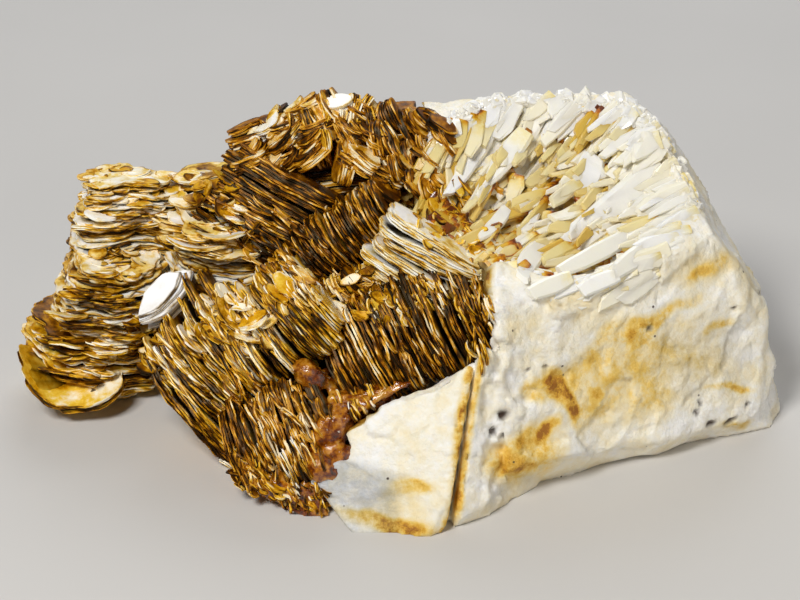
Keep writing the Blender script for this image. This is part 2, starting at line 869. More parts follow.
@dataclass
class Book:
    """One book of mica: thin sheets piled up along an axis, in packets that end unevenly.

    Attributes:
        node: The solid that the book replaces.
        centre: Middle of the pile.
        stack: Direction that it is piled in.
        run: Direction in which its sheets are longest.
        half_run: Half its length in mm, along run.
        half_wide: Half its width in mm.
        height: Its height in mm, along stack.
        ledges: Number of ledges, each of one outline.
        corners: Corners of the outline.
        low: Size of the lowest sheet, as a share of the largest.
        high: Size of the highest sheet.
        fan: Degrees that the sheets open by, from the lowest to the highest.
        curl: How far the near end of each sheet rises, in mm.
        dish: How far both ends of each sheet rise, in mm.
        seed: Number that its uneven sizes come from.
        packet: Usual thickness of a packet of sheets, in mm.
        sheet: Usual thickness of a sheet with the gap over it, in mm.
        crinkle: Height of the waves in the sheets, in mm.
        ragged: Depth of the bites in their edges, in mm.
        loose: How unevenly its packets lie: the tilt of a ledge in degrees.
        square: How square its outline is, from 2 for an ellipse upwards.
        grown: Size of the sheets against the solid's.
        broken: How far the corners of its outline leave the plain shape.
        look: How it is weathered.
    """

    node: str
    centre: Vector
    stack: Vector
    run: Vector
    half_run: float
    half_wide: float
    height: float
    ledges: int = 7
    corners: int = 12
    low: float = 0.85
    high: float = 0.8
    fan: float = 0.0
    curl: float = 0.0
    dish: float = 0.0
    seed: int = 1
    packet: float = 1.5
    sheet: float = 0.43
    crinkle: float = 0.3
    ragged: float = 0.9
    loose: float = 2.6
    square: float = 2.7
    grown: float = 1.04
    broken: float = 0.06
    look: Look = Look.GOLDEN

    def outline(self, rng: random.Random) -> list[Vector]:
        """Draws a plate with six blunt sides and half sizes of 1.

        Args:
            rng: Source of its unevenness.

        Returns:
            Its corners.
        """
        points = []
        for corner in range(self.corners):
            angle = 2 * math.pi * (corner + rng.uniform(-0.2, 0.2)) / self.corners
            reach = 0.97 - 0.04 * math.cos(6 * angle) + rng.uniform(-self.broken, self.broken)
            powers = abs(math.cos(angle)) ** self.square + abs(math.sin(angle)) ** self.square
            reach *= self.grown / powers ** (1.0 / self.square)
            points.append(Vector((reach * math.cos(angle), reach * math.sin(angle), 0.0)))
        return points

    def size_at(self, share: float) -> float:
        """How large the sheets are, against the largest.

        Args:
            share: Share of the pile's height.

        Returns:
            Their size, from 0 to 1.
        """
        ends = self.low + (self.high - self.low) * share
        return ends + (1.0 - ends) * math.sin(math.pi * share)

    def bent(self, point: Vector) -> Vector:
        """Curls, dishes and fans the sheets.

        Args:
            point: A point of the straight pile.

        Returns:
            Where it goes.
        """
        x, y, z = point
        reach = x / self.half_run
        z += self.dish * reach * reach + self.curl * max(0.0, -reach) ** 2
        if self.fan:
            radius = self.height / math.radians(self.fan)
            angle = z / radius
            x, z = (radius + x) * math.cos(angle) - radius, (radius + x) * math.sin(angle)
        return Vector((x, y, z))

    def steps(self) -> int:
        """Corners of each ring: about one for each step of the edge."""
        return max(12, min(92, round(math.pi * (self.half_run + self.half_wide) / EDGE_STEP)))

    def sheets(self) -> list[Sheet]:
        """Draws the sheets, in ledges of packets.

        Returns:
            The sheets from the lowest to the highest.
        """
        rng = random.Random(self.seed)
        fine = random.Random(self.seed + 100)
        base = self.outline(rng)
        ledge_height = self.height / self.ledges
        made = []
        for ledge in range(self.ledges):
            size = self.size_at((ledge + 0.5) / self.ledges) * rng.uniform(0.9, 1.0)
            slip = Vector((rng.uniform(-0.04, 0.04), rng.uniform(-0.04, 0.04), 0.0))
            uneven = [rng.uniform(0.94, 1.03) for _ in base]
            slope = math.radians(self.loose)
            tilt = (fine.uniform(-slope, slope), fine.uniform(-slope, slope))
            foot = -self.height / 2 + ledge * ledge_height
            weights = [fine.uniform(0.5, 1.6) for _ in range(max(1, round(ledge_height / self.packet)))]
            for weight in weights:
                slot = ledge_height * weight / sum(weights)
                scale = fine.uniform(0.93, 1.04) if fine.random() > 0.2 else fine.uniform(0.76, 0.9)
                shift = slip + Vector((fine.uniform(-0.03, 0.03), fine.uniform(-0.03, 0.03), 0.0))
                own = [fine.uniform(0.96 - 0.8 * self.broken, 1.03) for _ in base]
                splay = (fine.uniform(-0.35, 0.45), fine.uniform(-0.35, 0.45))
                tone = fine.random()
                count = max(1, round(0.85 * slot / self.sheet))
                pitch = slot * fine.uniform(0.76, 0.94) / count
                for sheet in range(count):
                    reach = size * scale * fine.uniform(0.95, 1.02)
                    corners = [
                        corner * reach * share * mine + shift
                        for corner, share, mine in zip(base, uneven, own)
                    ]
                    shade = min(1.0, max(0.0, tone + fine.uniform(-0.45, 0.45)))
                    thick = pitch * fine.uniform(0.6, 0.82)
                    made.append(Sheet(corners, foot + sheet * pitch, thick, shade, tilt, splay))
                foot += slot
        for sheet in made:
            sheet.rim = self.rim(sheet)
        return made

    def rim(self, sheet: Sheet) -> list[Vector]:
        """Draws the uneven outline of a sheet.

        Args:
            sheet: The sheet, with its corners.

        Returns:
            One place in mm for each step round its edge.
        """
        steps = self.steps()
        level = Vector((0.0, 0.0, sheet.foot))
        points = []
        for step in range(steps):
            place = step * self.corners / steps
            corner, along = int(place), place % 1.0
            near, far = sheet.corners[corner], sheet.corners[(corner + 1) % self.corners]
            flat = near.lerp(far, along) * (1.0 + 0.05 * math.sin(math.pi * along))
            point = Vector((flat.x * self.half_run, flat.y * self.half_wide, 0.0))
            bulge = ripple(point + level, 5.0, self.seed + 9)
            bite = max(0.0, ripple(point + 4 * level, 3.4, self.seed) - 0.24) * 2.4
            wander = ripple(point + 3 * level, 1.9, self.seed + 5) + 0.6 * ripple(point + 5 * level, 0.9)
            uneven = 0.9 * bulge + 0.4 * wander - bite
            points.append(point * max(0.5, 1.0 + self.ragged * uneven / point.length))
        return points

    def wave(self, point: Vector) -> float:
        """How far the sheets are crinkled up.

        Args:
            point: A place of the straight pile.

        Returns:
            The rise in mm.
        """
        flat = Vector((point.x, point.y, 0.3 * point.z))
        broad = 1.6 * ripple(flat, 9.0, self.seed) + 0.4 * ripple(flat, 3.0, self.seed + 2)
        return self.crinkle * (broad + 0.2 * ripple(flat, 1.1, self.seed + 4))

    def add_sheet(
        self,
        bm: bmesh.types.BMesh,
        sheet: Sheet,
        above: Sheet | None,
        below: Sheet | None,
    ) -> None:
        """Adds a sheet to the book's mesh, in the straight pile's frame.

        Args:
            bm: The mesh.
            sheet: The sheet to add.
            above: The next one up, or None at the top.
            below: The next one down, or None at the foot.
        """
        steps = self.steps()
        bare = above is None
        if above is not None:
            clear = [edge.length - other.length for edge, other in zip(sheet.rim, above.rim)]
            bare = sum(1 for width in clear if width > 1.0) > 0.25 * steps
        if self.half_run < FLAKE_RUN:
            rings = FLAKE_RINGS if bare else HIDDEN_FLAKE_RINGS
        else:
            rings = BARE_RINGS if bare else COVERED_RINGS
        start = len(bm.verts)
        bm.from_mesh(blank(rings, steps))
        bm.verts.ensure_lookup_table()
        tone, rim, gap, layer = (bm.verts.layers.float.get(name) for name in ATTRIBUTES)
        for vert in bm.verts[start:]:
            ring = rings[round(-vert.co.z)]
            step = round(math.atan2(vert.co.y, vert.co.x) / (2 * math.pi) * steps) % steps
            edge = sheet.rim[step]
            point = edge * (ring.share * max(0.1, 1.0 - ring.inset / edge.length))
            point.z = sheet.foot + (sheet.thick if ring.upper else 0.0)
            point.z += self.wave(point) + sheet.tilt[0] * point.x + sheet.tilt[1] * point.y
            side = point.x / self.half_run
            point.z += (sheet.splay[0] if side < 0.0 else sheet.splay[1]) * abs(side) ** 3
            if ring.rim:
                point.z += 0.16 * ripple(edge + Vector((0.0, 0.0, 3.0 * sheet.foot)), 2.4, self.seed)
            elif bare and ring.upper:
                point.z += self.crinkle * (0.5 * ripple(point, 2.3) + 0.3 * ripple(point, 1.0))
            vert.co = self.bent(point)
            other = above if ring.upper else below
            hidden = 0.0
            if other is not None:
                hidden = fade(other.rim[step].length - point.xy.length, -0.2, 1.1)
            vert[tone] = sheet.tone
            vert[layer] = 3.7 * (self.seed % 50) + sheet.foot + (sheet.thick if ring.upper else 0.0)
            vert[rim] = ring.rim
            vert[gap] = 0.78 * hidden if ring.rim else hidden

    def mesh(self) -> bmesh.types.BMesh:
        """Builds the whole book in its place.

        Returns:
            Its mesh, in mm.
        """
        bm = new_sheets()
        sheets = self.sheets()
        for number, sheet in enumerate(sheets):
            above = sheets[number + 1] if number + 1 < len(sheets) else None
            below = sheets[number - 1] if number else None
            self.add_sheet(bm, sheet, above, below)
        bm.transform(placing(self.stack, self.run, self.centre))
        cut_floor(bm)
        return bm

    def build(self, finishes: dict[Look, bpy.types.Material]) -> bpy.types.Object:
        """Makes the book and puts it in the place of its solid.

        Args:
            finishes: The materials of mica.

        Returns:
            The book's object.
        """
        made = place_piece(self.node + "_sheets", self.mesh(), finishes[self.look])
        dress(made, "silver_mica" if self.look is Look.WHITE else "golden_mica", self.node)
        return made


def shift(bm: bmesh.types.BMesh, moves: list[Vector]) -> None:
    """Moves each corner of a mesh and makes its faces smooth.

    Args:
        bm: The mesh.
        moves: How far each corner goes, in mm.
    """
    for vert, move in zip(bm.verts, moves):
        vert.co += move
    for face in bm.faces:
        face.smooth = True


def surface(*pieces: bpy.types.Object) -> BVHTree:
    """The surface of some finished pieces, for things that lie on it.

    Args:
        pieces: The pieces.

    Returns:
        Their surface in mm.
    """
    bm = bmesh.new()
    for made in pieces:
        bm.from_mesh(made.data)
    bm.transform(TO_MM)
    tree = BVHTree.FromBMesh(bm)
    bm.free()
    return tree


def seen_at(tree: BVHTree, across: float, uphill: float, outward: float) -> Vector:
    """The place on a surface that the eye sees there.

    Args:
        tree: The surface, in mm.
        across: Place across the slope, on its plane.
        uphill: Place up the slope.
        outward: How far out the nearest place is looked for where the eye sees past the surface.

    Returns:
        The place.
    """
    hit = tree.ray_cast(EYE, (on_slope(across, uphill, 0.0) - EYE).normalized())[0]
    return tree.find_nearest(on_slope(across, uphill, outward))[0] if hit is None else hit


def dress(made: bpy.types.Object, slot: str, *nodes: str) -> None:
    """Makes a piece ride with the specimen, in the place of its solids.

    Args:
        made: The piece.
        slot: The record's material slot that it is finished as.
        nodes: The solids that it replaces, if any.
    """
    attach(made, "root")
    if nodes:
        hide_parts(*nodes)
    log.info("%s: %d faces", made.name, len(made.data.polygons))


def slope_book(
    node: str,
    place: Place,
    lean: float,
    tilt: float,
    half_run: float,
    half_wide: float,
    height: float,
    **details: Any,
) -> Book:
    """A book placed and turned on the mica's slope.

    Args:
        node: The solid that it replaces.
        place: Its middle, across the slope, up it and out from it.
        lean: How far its edges rise to the right, in degrees.
        tilt: How far its upper faces turn out from the slope, in degrees.
        half_run: Half its length.
        half_wide: Half its width.
        height: Its height.
        details: Any other field of the book.

    Returns:
        The book.
    """
    stack, run = leaning(lean, tilt)
    return Book(node, on_slope(*place), stack, run, half_run, half_wide, height, **details)


def level_book(
    node: str,
    place: Place,
    dip: tuple[float, float],
    half_run: float,
    half_wide: float,
    height: float,
    **details: Any,
) -> Book:
    """A book whose sheets lie nearly level.

    Args:
        node: The solid that it replaces.
        place: Its middle in the specimen's frame.
        dip: How far its sheets dip towards +X and +Y, in degrees.
        half_run: Half its length.
        half_wide: Half its width.
        height: Its height.
        details: Any other field of the book.

    Returns:
        The book.
    """
    to_right, to_back = (math.radians(angle) for angle in dip)
    stack = Vector((math.sin(to_right), math.sin(to_back), 1.0))
    return Book(node, Vector(place), stack, ACROSS, half_run, half_wide, height, **details)


BOOKS = (
    slope_book("mica_cap_plates", (4.8, 8.6, 5.4), -30, 22, 11.6, 5.4, 11.0,
               ledges=6, corners=10, low=0.8, high=0.95, seed=9, packet=2.2, sheet=0.42,
               crinkle=0.2, ragged=0.5, loose=3.0, grown=1.0, look=Look.PALE),
    slope_book("mica_silver_tablet", (-38.7, 2.8, 0.2), 46, 54, 7.2, 3.5, 5.0,
               ledges=6, corners=6, low=1.0, high=0.74, seed=4, packet=0.8, sheet=0.36, crinkle=0.02,
               ragged=0.03, loose=0.6, square=2.0, grown=1.06, broken=0.03, look=Look.WHITE),
    slope_book("mica_front_stack", (-19.6, -2.4, 3.6), -51, 8, 10.6, 8.6, 20.5,
               ledges=9, corners=10, fan=8, seed=7, sheet=0.4),
    slope_book("mica_front_fan", (-28.8, -9.2, -3.2), -44, 6, 16.0, 10.4, 21.0,
               ledges=11, corners=12, low=0.74, high=0.7, fan=12, curl=4.0, seed=6,
               packet=1.3, sheet=0.42, crinkle=0.38, ragged=1.5, broken=0.09),
    slope_book("mica_curved_wall", (3.0, -3.2, 3.0), -64, 8, 10.8, 9.2, 29.0,
               ledges=10, corners=10, low=0.85, high=0.8, fan=-12, seed=8, packet=1.1, sheet=0.42,
               look=Look.BROWN),
    slope_book("mica_lower_stack", (-18.6, -19.4, 6.6), -68, 6, 9.6, 7.6, 18.5,
               ledges=7, corners=10, low=0.75, high=0.85, fan=8, seed=13, packet=1.4, sheet=0.42,
               look=Look.BROWN),
    slope_book("mica_ridge", (-10.6, 11.4, -4.6), -50, 8, 7.2, 8.0, 25.0,
               ledges=8, corners=10, low=0.95, high=0.75, fan=-18, seed=10, packet=0.8, sheet=0.36,
               look=Look.BROWN),
    level_book("mica_rosette", (-31.0, 15.0, 27.6), (5, -5), 9.6, 9.2, 13.5,
               ledges=6, corners=10, low=0.95, high=0.72, seed=5, packet=1.4, crinkle=0.45,
               ragged=1.3, broken=0.1, look=Look.PALE),
    level_book("mica_left_middle", (-49.2, 16.0, 19.8), (6, -4), 11.6, 10.4, 12.0,
               ledges=6, corners=11, low=0.9, high=0.85, dish=0.8, seed=2, packet=1.2,
               sheet=0.42, crinkle=0.5, ragged=1.5, broken=0.12, look=Look.PALE),
    level_book("mica_left_top", (-47.2, 25.2, 28.2), (2, 3), 11.8, 9.6, 19.0,
               ledges=9, corners=11, low=0.95, high=0.7, seed=1, packet=1.2,
               sheet=0.42, crinkle=0.5, ragged=1.6, broken=0.13, look=Look.PALE),
    level_book("mica_left_low", (-53.4, 15.4, 7.7), (8, 0), 12.6, 10.4, 12.8,
               ledges=6, corners=12, low=0.85, high=0.95, curl=1.2, seed=3, packet=1.2,
               sheet=0.43, crinkle=0.5, ragged=1.5, broken=0.12),
    level_book("mica_shoulder", (-33.0, 27.2, 30.8), (-4, 6), 8.2, 6.4, 13.0,
               ledges=5, corners=10, seed=16, crinkle=0.4, look=Look.PALE),
    level_book("mica_back_book", (-27.0, 27.4, 13.5), (16, 10), 11.0, 6.4, 15.0,
               ledges=6, corners=10, seed=14, sheet=0.7, crinkle=0.4, look=Look.BROWN),
)

# Small books that close the gaps between the large ones
# Small books that close the gaps: look, place on the slope, lean, tilt, half sizes, height
FILLERS = tuple(
    slope_book("", *sizes, ledges=2, corners=8, seed=61 + number, sheet=0.45, look=look)
    for number, (look, *sizes) in enumerate((
        (Look.BROWN, (-7.4, 5.0, 0.4), -42, 26, 3.6, 2.6, 4.2),
        (Look.GOLDEN, (-3.8, 6.6, 0.6), -24, 34, 3.4, 2.6, 3.8),
        (Look.GOLDEN, (-10.4, 4.6, 0.0), -58, 16, 3.4, 2.4, 3.4),
        (Look.BROWN, (-5.4, 2.0, 2.0), 12, 30, 2.8, 2.0, 2.6),
        (Look.BROWN, (5.6, 30.6, -7.0), -52, 14, 3.6, 2.6, 3.2),
        (Look.GOLDEN, (7.4, 26.6, -6.4), -60, 20, 3.4, 2.4, 3.0),
        (Look.BROWN, (6.6, 22.0, -5.0), -40, 24, 3.2, 2.4, 3.0),
    ))
)
CURLED_PLATE = level_book("mica_left_low", (-56.6, 7.6, 5.4), (2, -16), 10.0, 7.2, 2.2,
                          ledges=1, corners=12, dish=1.4, curl=6.0, seed=33, packet=2.2, sheet=0.5,
                          crinkle=0.4, ragged=0.8, grown=1.0)
UPPER_STACK = slope_book("mica_upper_stack", (-20.6, 18.2, -10.6), -30, 10, 14.0, 8.0, 15.5,
                         ledges=7, corners=10, low=0.95, high=0.9, seed=11, packet=1.9, sheet=0.46,
                         look=Look.BROWN)
TABLET_BED = slope_book("mica_upper_stack", (-8.4, 28.8, -12.4), 4, 22, 19.0, 5.8, 13.5,
                        ledges=5, corners=10, low=0.95, high=0.62, seed=15, sheet=0.8, look=Look.BROWN)

# Small tablets that crowd along the top edge: place on the slope, lean, tilt, half sizes, height
TABLETS = (
    ((-24.4, 28.4, -9.4), 52, 24, 3.8, 2.2, 2.6),
    ((-25.4, 31.6, -12.0), 24, 14, 4.4, 3.4, 3.4),
    ((-21.0, 33.4, -12.0), 40, 10, 4.0, 3.2, 3.0),
    ((-18.3, 31.0, -7.9), 14, 30, 3.4, 2.2, 2.4),
    ((-17.2, 26.8, -8.3), 26, 6, 3.8, 3.0, 3.4),
    ((-13.0, 28.8, -7.3), -82, 10, 4.6, 2.8, 3.8),
    ((-15.8, 35.4, -10.0), 36, 10, 4.6, 3.0, 3.2),
    ((-10.3, 35.2, -9.0), -60, 8, 4.6, 3.2, 3.6),
    ((-7.0, 31.0, -6.6), -26, 26, 3.8, 2.4, 2.6),
    ((-4.8, 34.6, -8.8), -34, 10, 3.8, 3.2, 3.2),
    ((-1.2, 29.4, -6.4), -66, 18, 4.8, 3.0, 3.6),
    ((3.0, 32.2, -7.4), -60, 14, 4.6, 2.8, 3.4),
    ((-8.8, 25.4, -5.6), 80, 20, 4.2, 2.6, 3.0),
    ((-3.4, 24.6, -5.4), -30, 12, 4.6, 3.0, 2.8),
    ((2.6, 25.2, -5.4), -50, 16, 3.8, 2.6, 2.8),
    ((-1.6, 20.4, -3.6), -38, 20, 3.6, 2.8, 2.4),
)


def place_small_books(finishes: dict[Look, bpy.types.Material]) -> None:
    """Makes the large curled plate at the lower left and the books that close the gaps.

    Args:
        finishes: The materials of mica.
    """
    made = place_piece("mica_curled_plate", CURLED_PLATE.mesh(), finishes[CURLED_PLATE.look])
    dress(made, "golden_mica")
    for look in (Look.GOLDEN, Look.BROWN):
        bm = new_sheets()
        for book in FILLERS:
            if book.look is look:
                add_mesh(bm, book.mesh())
        dress(place_piece(f"mica_small_{look.value}_sheets", bm, finishes[look]), "golden_mica")


@dataclass
class UpperStack:
    """The stack under the top edge, its bed and the small tablets that crowd on them."""

    name: str = "mica_upper_stack_sheets"

    def build(self, finishes: dict[Look, bpy.types.Material]) -> bpy.types.Object:
        """Makes the piece and puts it in the place of its solid.

        Args:
            finishes: The materials of mica.

        Returns:
            The piece's object.
        """
        bm = UPPER_STACK.mesh()
        parts = [TABLET_BED]
        for number, (place, lean, tilt, half_run, half_wide, height) in enumerate(TABLETS):
            parts.append(
                slope_book("mica_upper_stack", place, lean, tilt, half_run, half_wide, height,
                           ledges=2, corners=7, seed=20 + number, packet=1.2, sheet=0.45,
                           crinkle=0.12, ragged=0.4, loose=2.0)
            )
        for part in parts:
            add_mesh(bm, part.mesh())
        made = place_piece(self.name, bm, finishes[Look.BROWN])
        dress(made, "golden_mica", "mica_upper_stack")
        return made


@dataclass(frozen=True)
class Drift:
    """Small flakes and tablets strewn over a part of the specimen.

    Attributes:
        middle: Middle of the part, across the slope and up it, in mm.
        radii: Half its length and half its width.
        turn: How far it is turned, in degrees.
        count: How many flakes lie there.
        lean: Usual rise of their edges to the right and how much it varies, in degrees.
        tilt: Usual turn of their faces out from the slope and how much it varies, in degrees.
        half_run: Smallest and largest half length in mm.
        height: Smallest and largest height of a flake's pile of sheets, in mm.
        sink: How deep their middles lie under the surface, in mm.
        square: How square their outlines are, from 1 for pointed ones upwards.
        look: How they are weathered.
    """

    middle: tuple[float, float]
    radii: tuple[float, float]
    turn: float
    count: int
    lean: tuple[float, float]
    tilt: tuple[float, float]
    half_run: tuple[float, float] = (1.4, 3.0)
    height: tuple[float, float] = (0.35, 0.9)
    sink: float = 0.2
    square: float = 1.5
    look: Look = Look.GOLDEN

    def flakes(self, tree: BVHTree, rng: random.Random) -> list[Book]:
        """The flakes, each laid on the surface that the eye sees there.

        Args:
            tree: The surface that they lie on, in mm.
            rng: Source of their places and sizes.

        Returns:
            The flakes as small books.
        """
        made = []
        turn = math.radians(self.turn)
        for _ in range(self.count):
            angle, reach = rng.uniform(0.0, 2 * math.pi), math.sqrt(rng.random())
            x, y = reach * self.radii[0] * math.cos(angle), reach * self.radii[1] * math.sin(angle)
            across = self.middle[0] + x * math.cos(turn) - y * math.sin(turn)
            uphill = self.middle[1] + x * math.sin(turn) + y * math.cos(turn)
            lean, tilt = (usual + vary * rng.uniform(-1.0, 1.0) for usual, vary in (self.lean, self.tilt))
            half_run, height = rng.uniform(*self.half_run), rng.uniform(*self.height)
            wide, shape, seed = rng.uniform(0.42, 0.8), rng.uniform(-0.25, 0.5), rng.randrange(1000)
            dish = rng.uniform(-0.5, 0.5)
            hit = tree.ray_cast(EYE, (on_slope(across, uphill, 0.0) - EYE).normalized())
            aside = Vector((across, uphill)) - Vector(CLEAN_PLACE)
            if hit[0] is None or aside.length < CLEAN_REACH:
                continue
            stack, run = leaning(lean, tilt)
            made.append(
                Book("", hit[0] - self.sink * OUTWARD, stack, run, half_run, half_run * wide, height,
                     ledges=1, corners=9, dish=dish, seed=seed, packet=height, sheet=0.42,
                     crinkle=0.12, ragged=0.3, loose=1.0, square=self.square + shape)
            )
        return made


FLAKE_BEDS = ("_sheets", "lath_lining", "feldspar_body", "curled_plate", "quartz_seam")
CLEAN_PLACE = (-39.2, 3.2)  # the clean white tablet, across and up the slope
CLEAN_REACH = 5.6

DRIFTS = (
    # crest of the front stack and of the fan
    Drift((-21.0, 2.6), (9.0, 3.6), 6.0, 46, (-50.0, 14.0), (24.0, 20.0)),
    Drift((-32.5, 0.0), (5.5, 4.5), -40.0, 26, (-42.0, 22.0), (34.0, 24.0)),
    Drift((-26.2, -1.6), (6.0, 4.5), -35.0, 26, (-35.0, 45.0), (36.0, 26.0), look=Look.PALE),
    Drift((-14.0, 3.6), (5.0, 3.0), -10.0, 18, (-58.0, 14.0), (14.0, 12.0), look=Look.PALE),
    # between the front stack, the ridge and the wall
    Drift((-6.0, 3.4), (5.0, 4.4), 20.0, 34, (-30.0, 60.0), (40.0, 35.0), (1.0, 2.4), sink=0.0),
    Drift((-1.5, 1.0), (5.0, 3.0), -20.0, 26, (-60.0, 30.0), (30.0, 30.0), (1.0, 2.2)),
    # crest and face of the curved wall
    Drift((9.0, 2.6), (8.0, 3.2), -12.0, 50, (-62.0, 16.0), (12.0, 14.0), (1.0, 2.4)),
    Drift((-6.4, -15.2), (5.0, 2.0), 18.0, 12, (-64.0, 10.0), (6.0, 12.0), (1.2, 2.4)),
    Drift((-5.0, -15.8), (3.0, 1.2), 10.0, 6, (-60.0, 14.0), (14.0, 20.0), (0.8, 1.6), look=Look.PALE),
    Drift((3.0, -6.0), (8.4, 5.0), -20.0, 26, (-64.0, 8.0), (4.0, 6.0), (1.4, 3.2), look=Look.BROWN),
    Drift((14.6, -3.4), (1.8, 6.4), -10.0, 22, (-74.0, 14.0), (4.0, 10.0), (1.2, 3.0)),
    # fan, lower stack and the seam between them
    Drift((-31.0, -11.0), (10.0, 7.0), -44.0, 12, (-44.0, 8.0), (4.0, 6.0), (2.4, 4.6)),
    Drift((-20.0, -15.0), (9.0, 4.0), -25.0, 40, (-56.0, 16.0), (8.0, 14.0), (1.4, 3.2), look=Look.BROWN),
    Drift((-19.0, -22.0), (8.0, 6.0), -20.0, 36, (-68.0, 12.0), (4.0, 8.0), (1.4, 3.4), look=Look.BROWN),
    Drift((-21.0, -29.0), (7.5, 3.2), -25.0, 36, (-62.0, 26.0), (14.0, 20.0), (1.0, 2.4), look=Look.BROWN),
    Drift((-16.5, -25.0), (2.6, 3.4), -20.0, 14, (-68.0, 8.0), (2.0, 6.0), (2.2, 3.8), look=Look.PALE),
    # ridge and upper stack
    Drift((-12.0, 10.0), (9.0, 5.0), 30.0, 26, (-46.0, 8.0), (6.0, 8.0), (1.2, 3.0), look=Look.BROWN),
    Drift((-22.0, 17.0), (9.0, 6.0), -30.0, 40, (-32.0, 8.0), (8.0, 10.0), (2.0, 4.6), look=Look.BROWN),
    Drift((-20.5, 10.0), (8.0, 3.0), -25.0, 44, (-34.0, 22.0), (16.0, 20.0), (1.2, 3.2), look=Look.BROWN),
    # tablets under the top edge
    Drift((-18.0, 29.0), (9.0, 4.5), 24.0, 36, (34.0, 24.0), (20.0, 16.0), (1.8, 3.8), (1.2, 2.6), 0.4, 2.2,
          Look.BROWN),
    Drift((-4.0, 30.0), (9.0, 6.0), -35.0, 44, (-52.0, 30.0), (18.0, 16.0), (1.8, 3.8), (1.2, 2.6), 0.4, 2.2,
          Look.BROWN),
    Drift((-17.0, 33.0), (8.5, 2.4), 20.0, 26, (34.0, 24.0), (30.0, 20.0), (1.4, 3.0), (0.8, 1.8), 0.2, 2.0,
          Look.PALE),
    Drift((-10.0, 31.5), (8.0, 4.0), 0.0, 26, (80.0, 30.0), (14.0, 14.0), (1.8, 3.6), (1.0, 2.2), 0.4, 2.2),
    Drift((4.0, 26.0), (4.4, 8.0), -25.0, 44, (-50.0, 30.0), (24.0, 24.0), (1.4, 3.4), (0.8, 2.0), 0.0, 1.9,
          Look.BROWN),
    Drift((8.0, 18.0), (3.4, 7.0), -30.0, 30, (-60.0, 40.0), (30.0, 30.0), (1.0, 2.6)),
    Drift((-15.5, -31.0), (5.0, 2.4), -5.0, 40, (-50.0, 40.0), (10.0, 30.0), (0.8, 1.9)),
    Drift((-24.0, -28.0), (6.0, 3.0), -35.0, 30, (-50.0, 40.0), (10.0, 30.0), (1.0, 2.4)),
    Drift((13.0, 13.0), (4.4, 2.6), -15.0, 12, (-10.0, 40.0), (40.0, 30.0), (1.0, 2.2)),
    # round the rosette and the books on the left
    Drift((-32.0, 15.0), (7.5, 6.0), 0.0, 36, (-6.0, 14.0), (16.0, 14.0), (1.8, 4.4), look=Look.PALE),
    Drift((-32.0, 20.0), (6.0, 4.0), 0.0, 26, (-6.0, 30.0), (36.0, 24.0), (1.4, 3.2)),
    Drift((-36.0, 25.0), (5.0, 2.6), 15.0, 24, (14.0, 24.0), (26.0, 24.0), (1.2, 2.6), look=Look.PALE),
    Drift((-46.5, 18.0), (6.0, 6.5), 0.0, 34, (2.0, 10.0), (14.0, 10.0), (1.6, 3.8)),
    Drift((-46.0, 22.0), (7.0, 3.4), 0.0, 20, (4.0, 16.0), (30.0, 18.0), (1.2, 2.6), look=Look.PALE),
    Drift((-48.0, 2.6), (6.5, 6.5), 0.0, 36, (-2.0, 10.0), (12.0, 10.0), (1.8, 4.2)),
    Drift((-46.0, 9.0), (7.0, 3.0), -10.0, 24, (-4.0, 20.0), (34.0, 18.0), (1.4, 3.0), look=Look.PALE),
    Drift((-52.0, -6.0), (8.0, 5.0), 0.0, 34, (-6.0, 10.0), (12.0, 10.0), (1.8, 4.2)),
    Drift((-36.0, -6.0), (4.0, 6.0), -44.0, 16, (-44.0, 10.0), (10.0, 10.0), (2.0, 4.4), look=Look.PALE),
    Drift((-42.0, -4.0), (3.0, 7.0), 10.0, 30, (-20.0, 30.0), (26.0, 20.0), (1.2, 2.8)),
)

# Single petals that stand out: place across and up the slope, rise over what they lie on, lean,
# tilt, half length, half width, how far their ends curl up, and their look
PETALS = (
    (-28.1, -0.3, 0.9, -55, 58, 4.0, 1.5, 0.8, Look.PALE),
    (-24.0, -0.8, 1.1, 28, 48, 3.2, 1.2, -0.8, Look.GOLDEN),
    (-23.7, -2.0, 1.2, 26, 18, 2.9, 1.2, 0.9, Look.PALE),
    (-25.7, 1.2, 0.8, -8, 40, 1.8, 0.8, -0.4, Look.GOLDEN),
    (-24.1, 2.2, 0.8, -66, 30, 1.8, 0.8, 0.3, Look.PALE),
    (-28.3, 3.3, 0.6, -56, 50, 2.6, 1.0, -0.4, Look.GOLDEN),
    (-18.6, 4.9, 0.8, -52, 68, 3.4, 1.9, 0.2, Look.GOLDEN),
    (-32.5, 20.3, 1.0, 60, 46, 3.2, 2.2, 0.4, Look.PALE),
    (-28.8, 17.5, 0.9, -60, 58, 3.0, 1.8, 0.9, Look.GOLDEN),
    (-35.3, 18.6, 0.9, -8, 34, 3.4, 1.6, 0.4, Look.PALE),
    (-24.7, 13.5, 0.9, 58, 30, 3.2, 1.0, -0.5, Look.PALE),
    (-29.0, 13.0, 0.8, 4, 12, 5.0, 3.2, 1.2, Look.PALE),
    (-33.0, 11.2, 0.6, -4, 8, 6.4, 4.0, 1.4, Look.PALE),
    (-45.6, 24.2, 0.4, 4, 30, 2.2, 1.8, -0.6, Look.GOLDEN),
    (-33.4, 25.3, 0.3, 10, 30, 1.8, 1.6, -0.4, Look.GOLDEN),
    (-41.0, 17.8, 0.4, -10, 46, 2.6, 2.0, 0.3, Look.PALE),
    (-49.6, 16.4, 0.5, -12, 28, 3.4, 1.8, 0.4, Look.PALE),
    (-50.2, 10.4, 0.8, 2, 46, 2.6, 2.0, -0.4, Look.PALE),
    (-43.2, 10.4, 0.6, -14, 40, 2.8, 1.4, -0.4, Look.PALE),
    (-62.0, 0.6, 0.3, -6, 10, 4.2, 2.4, 0.4, Look.PALE),
)


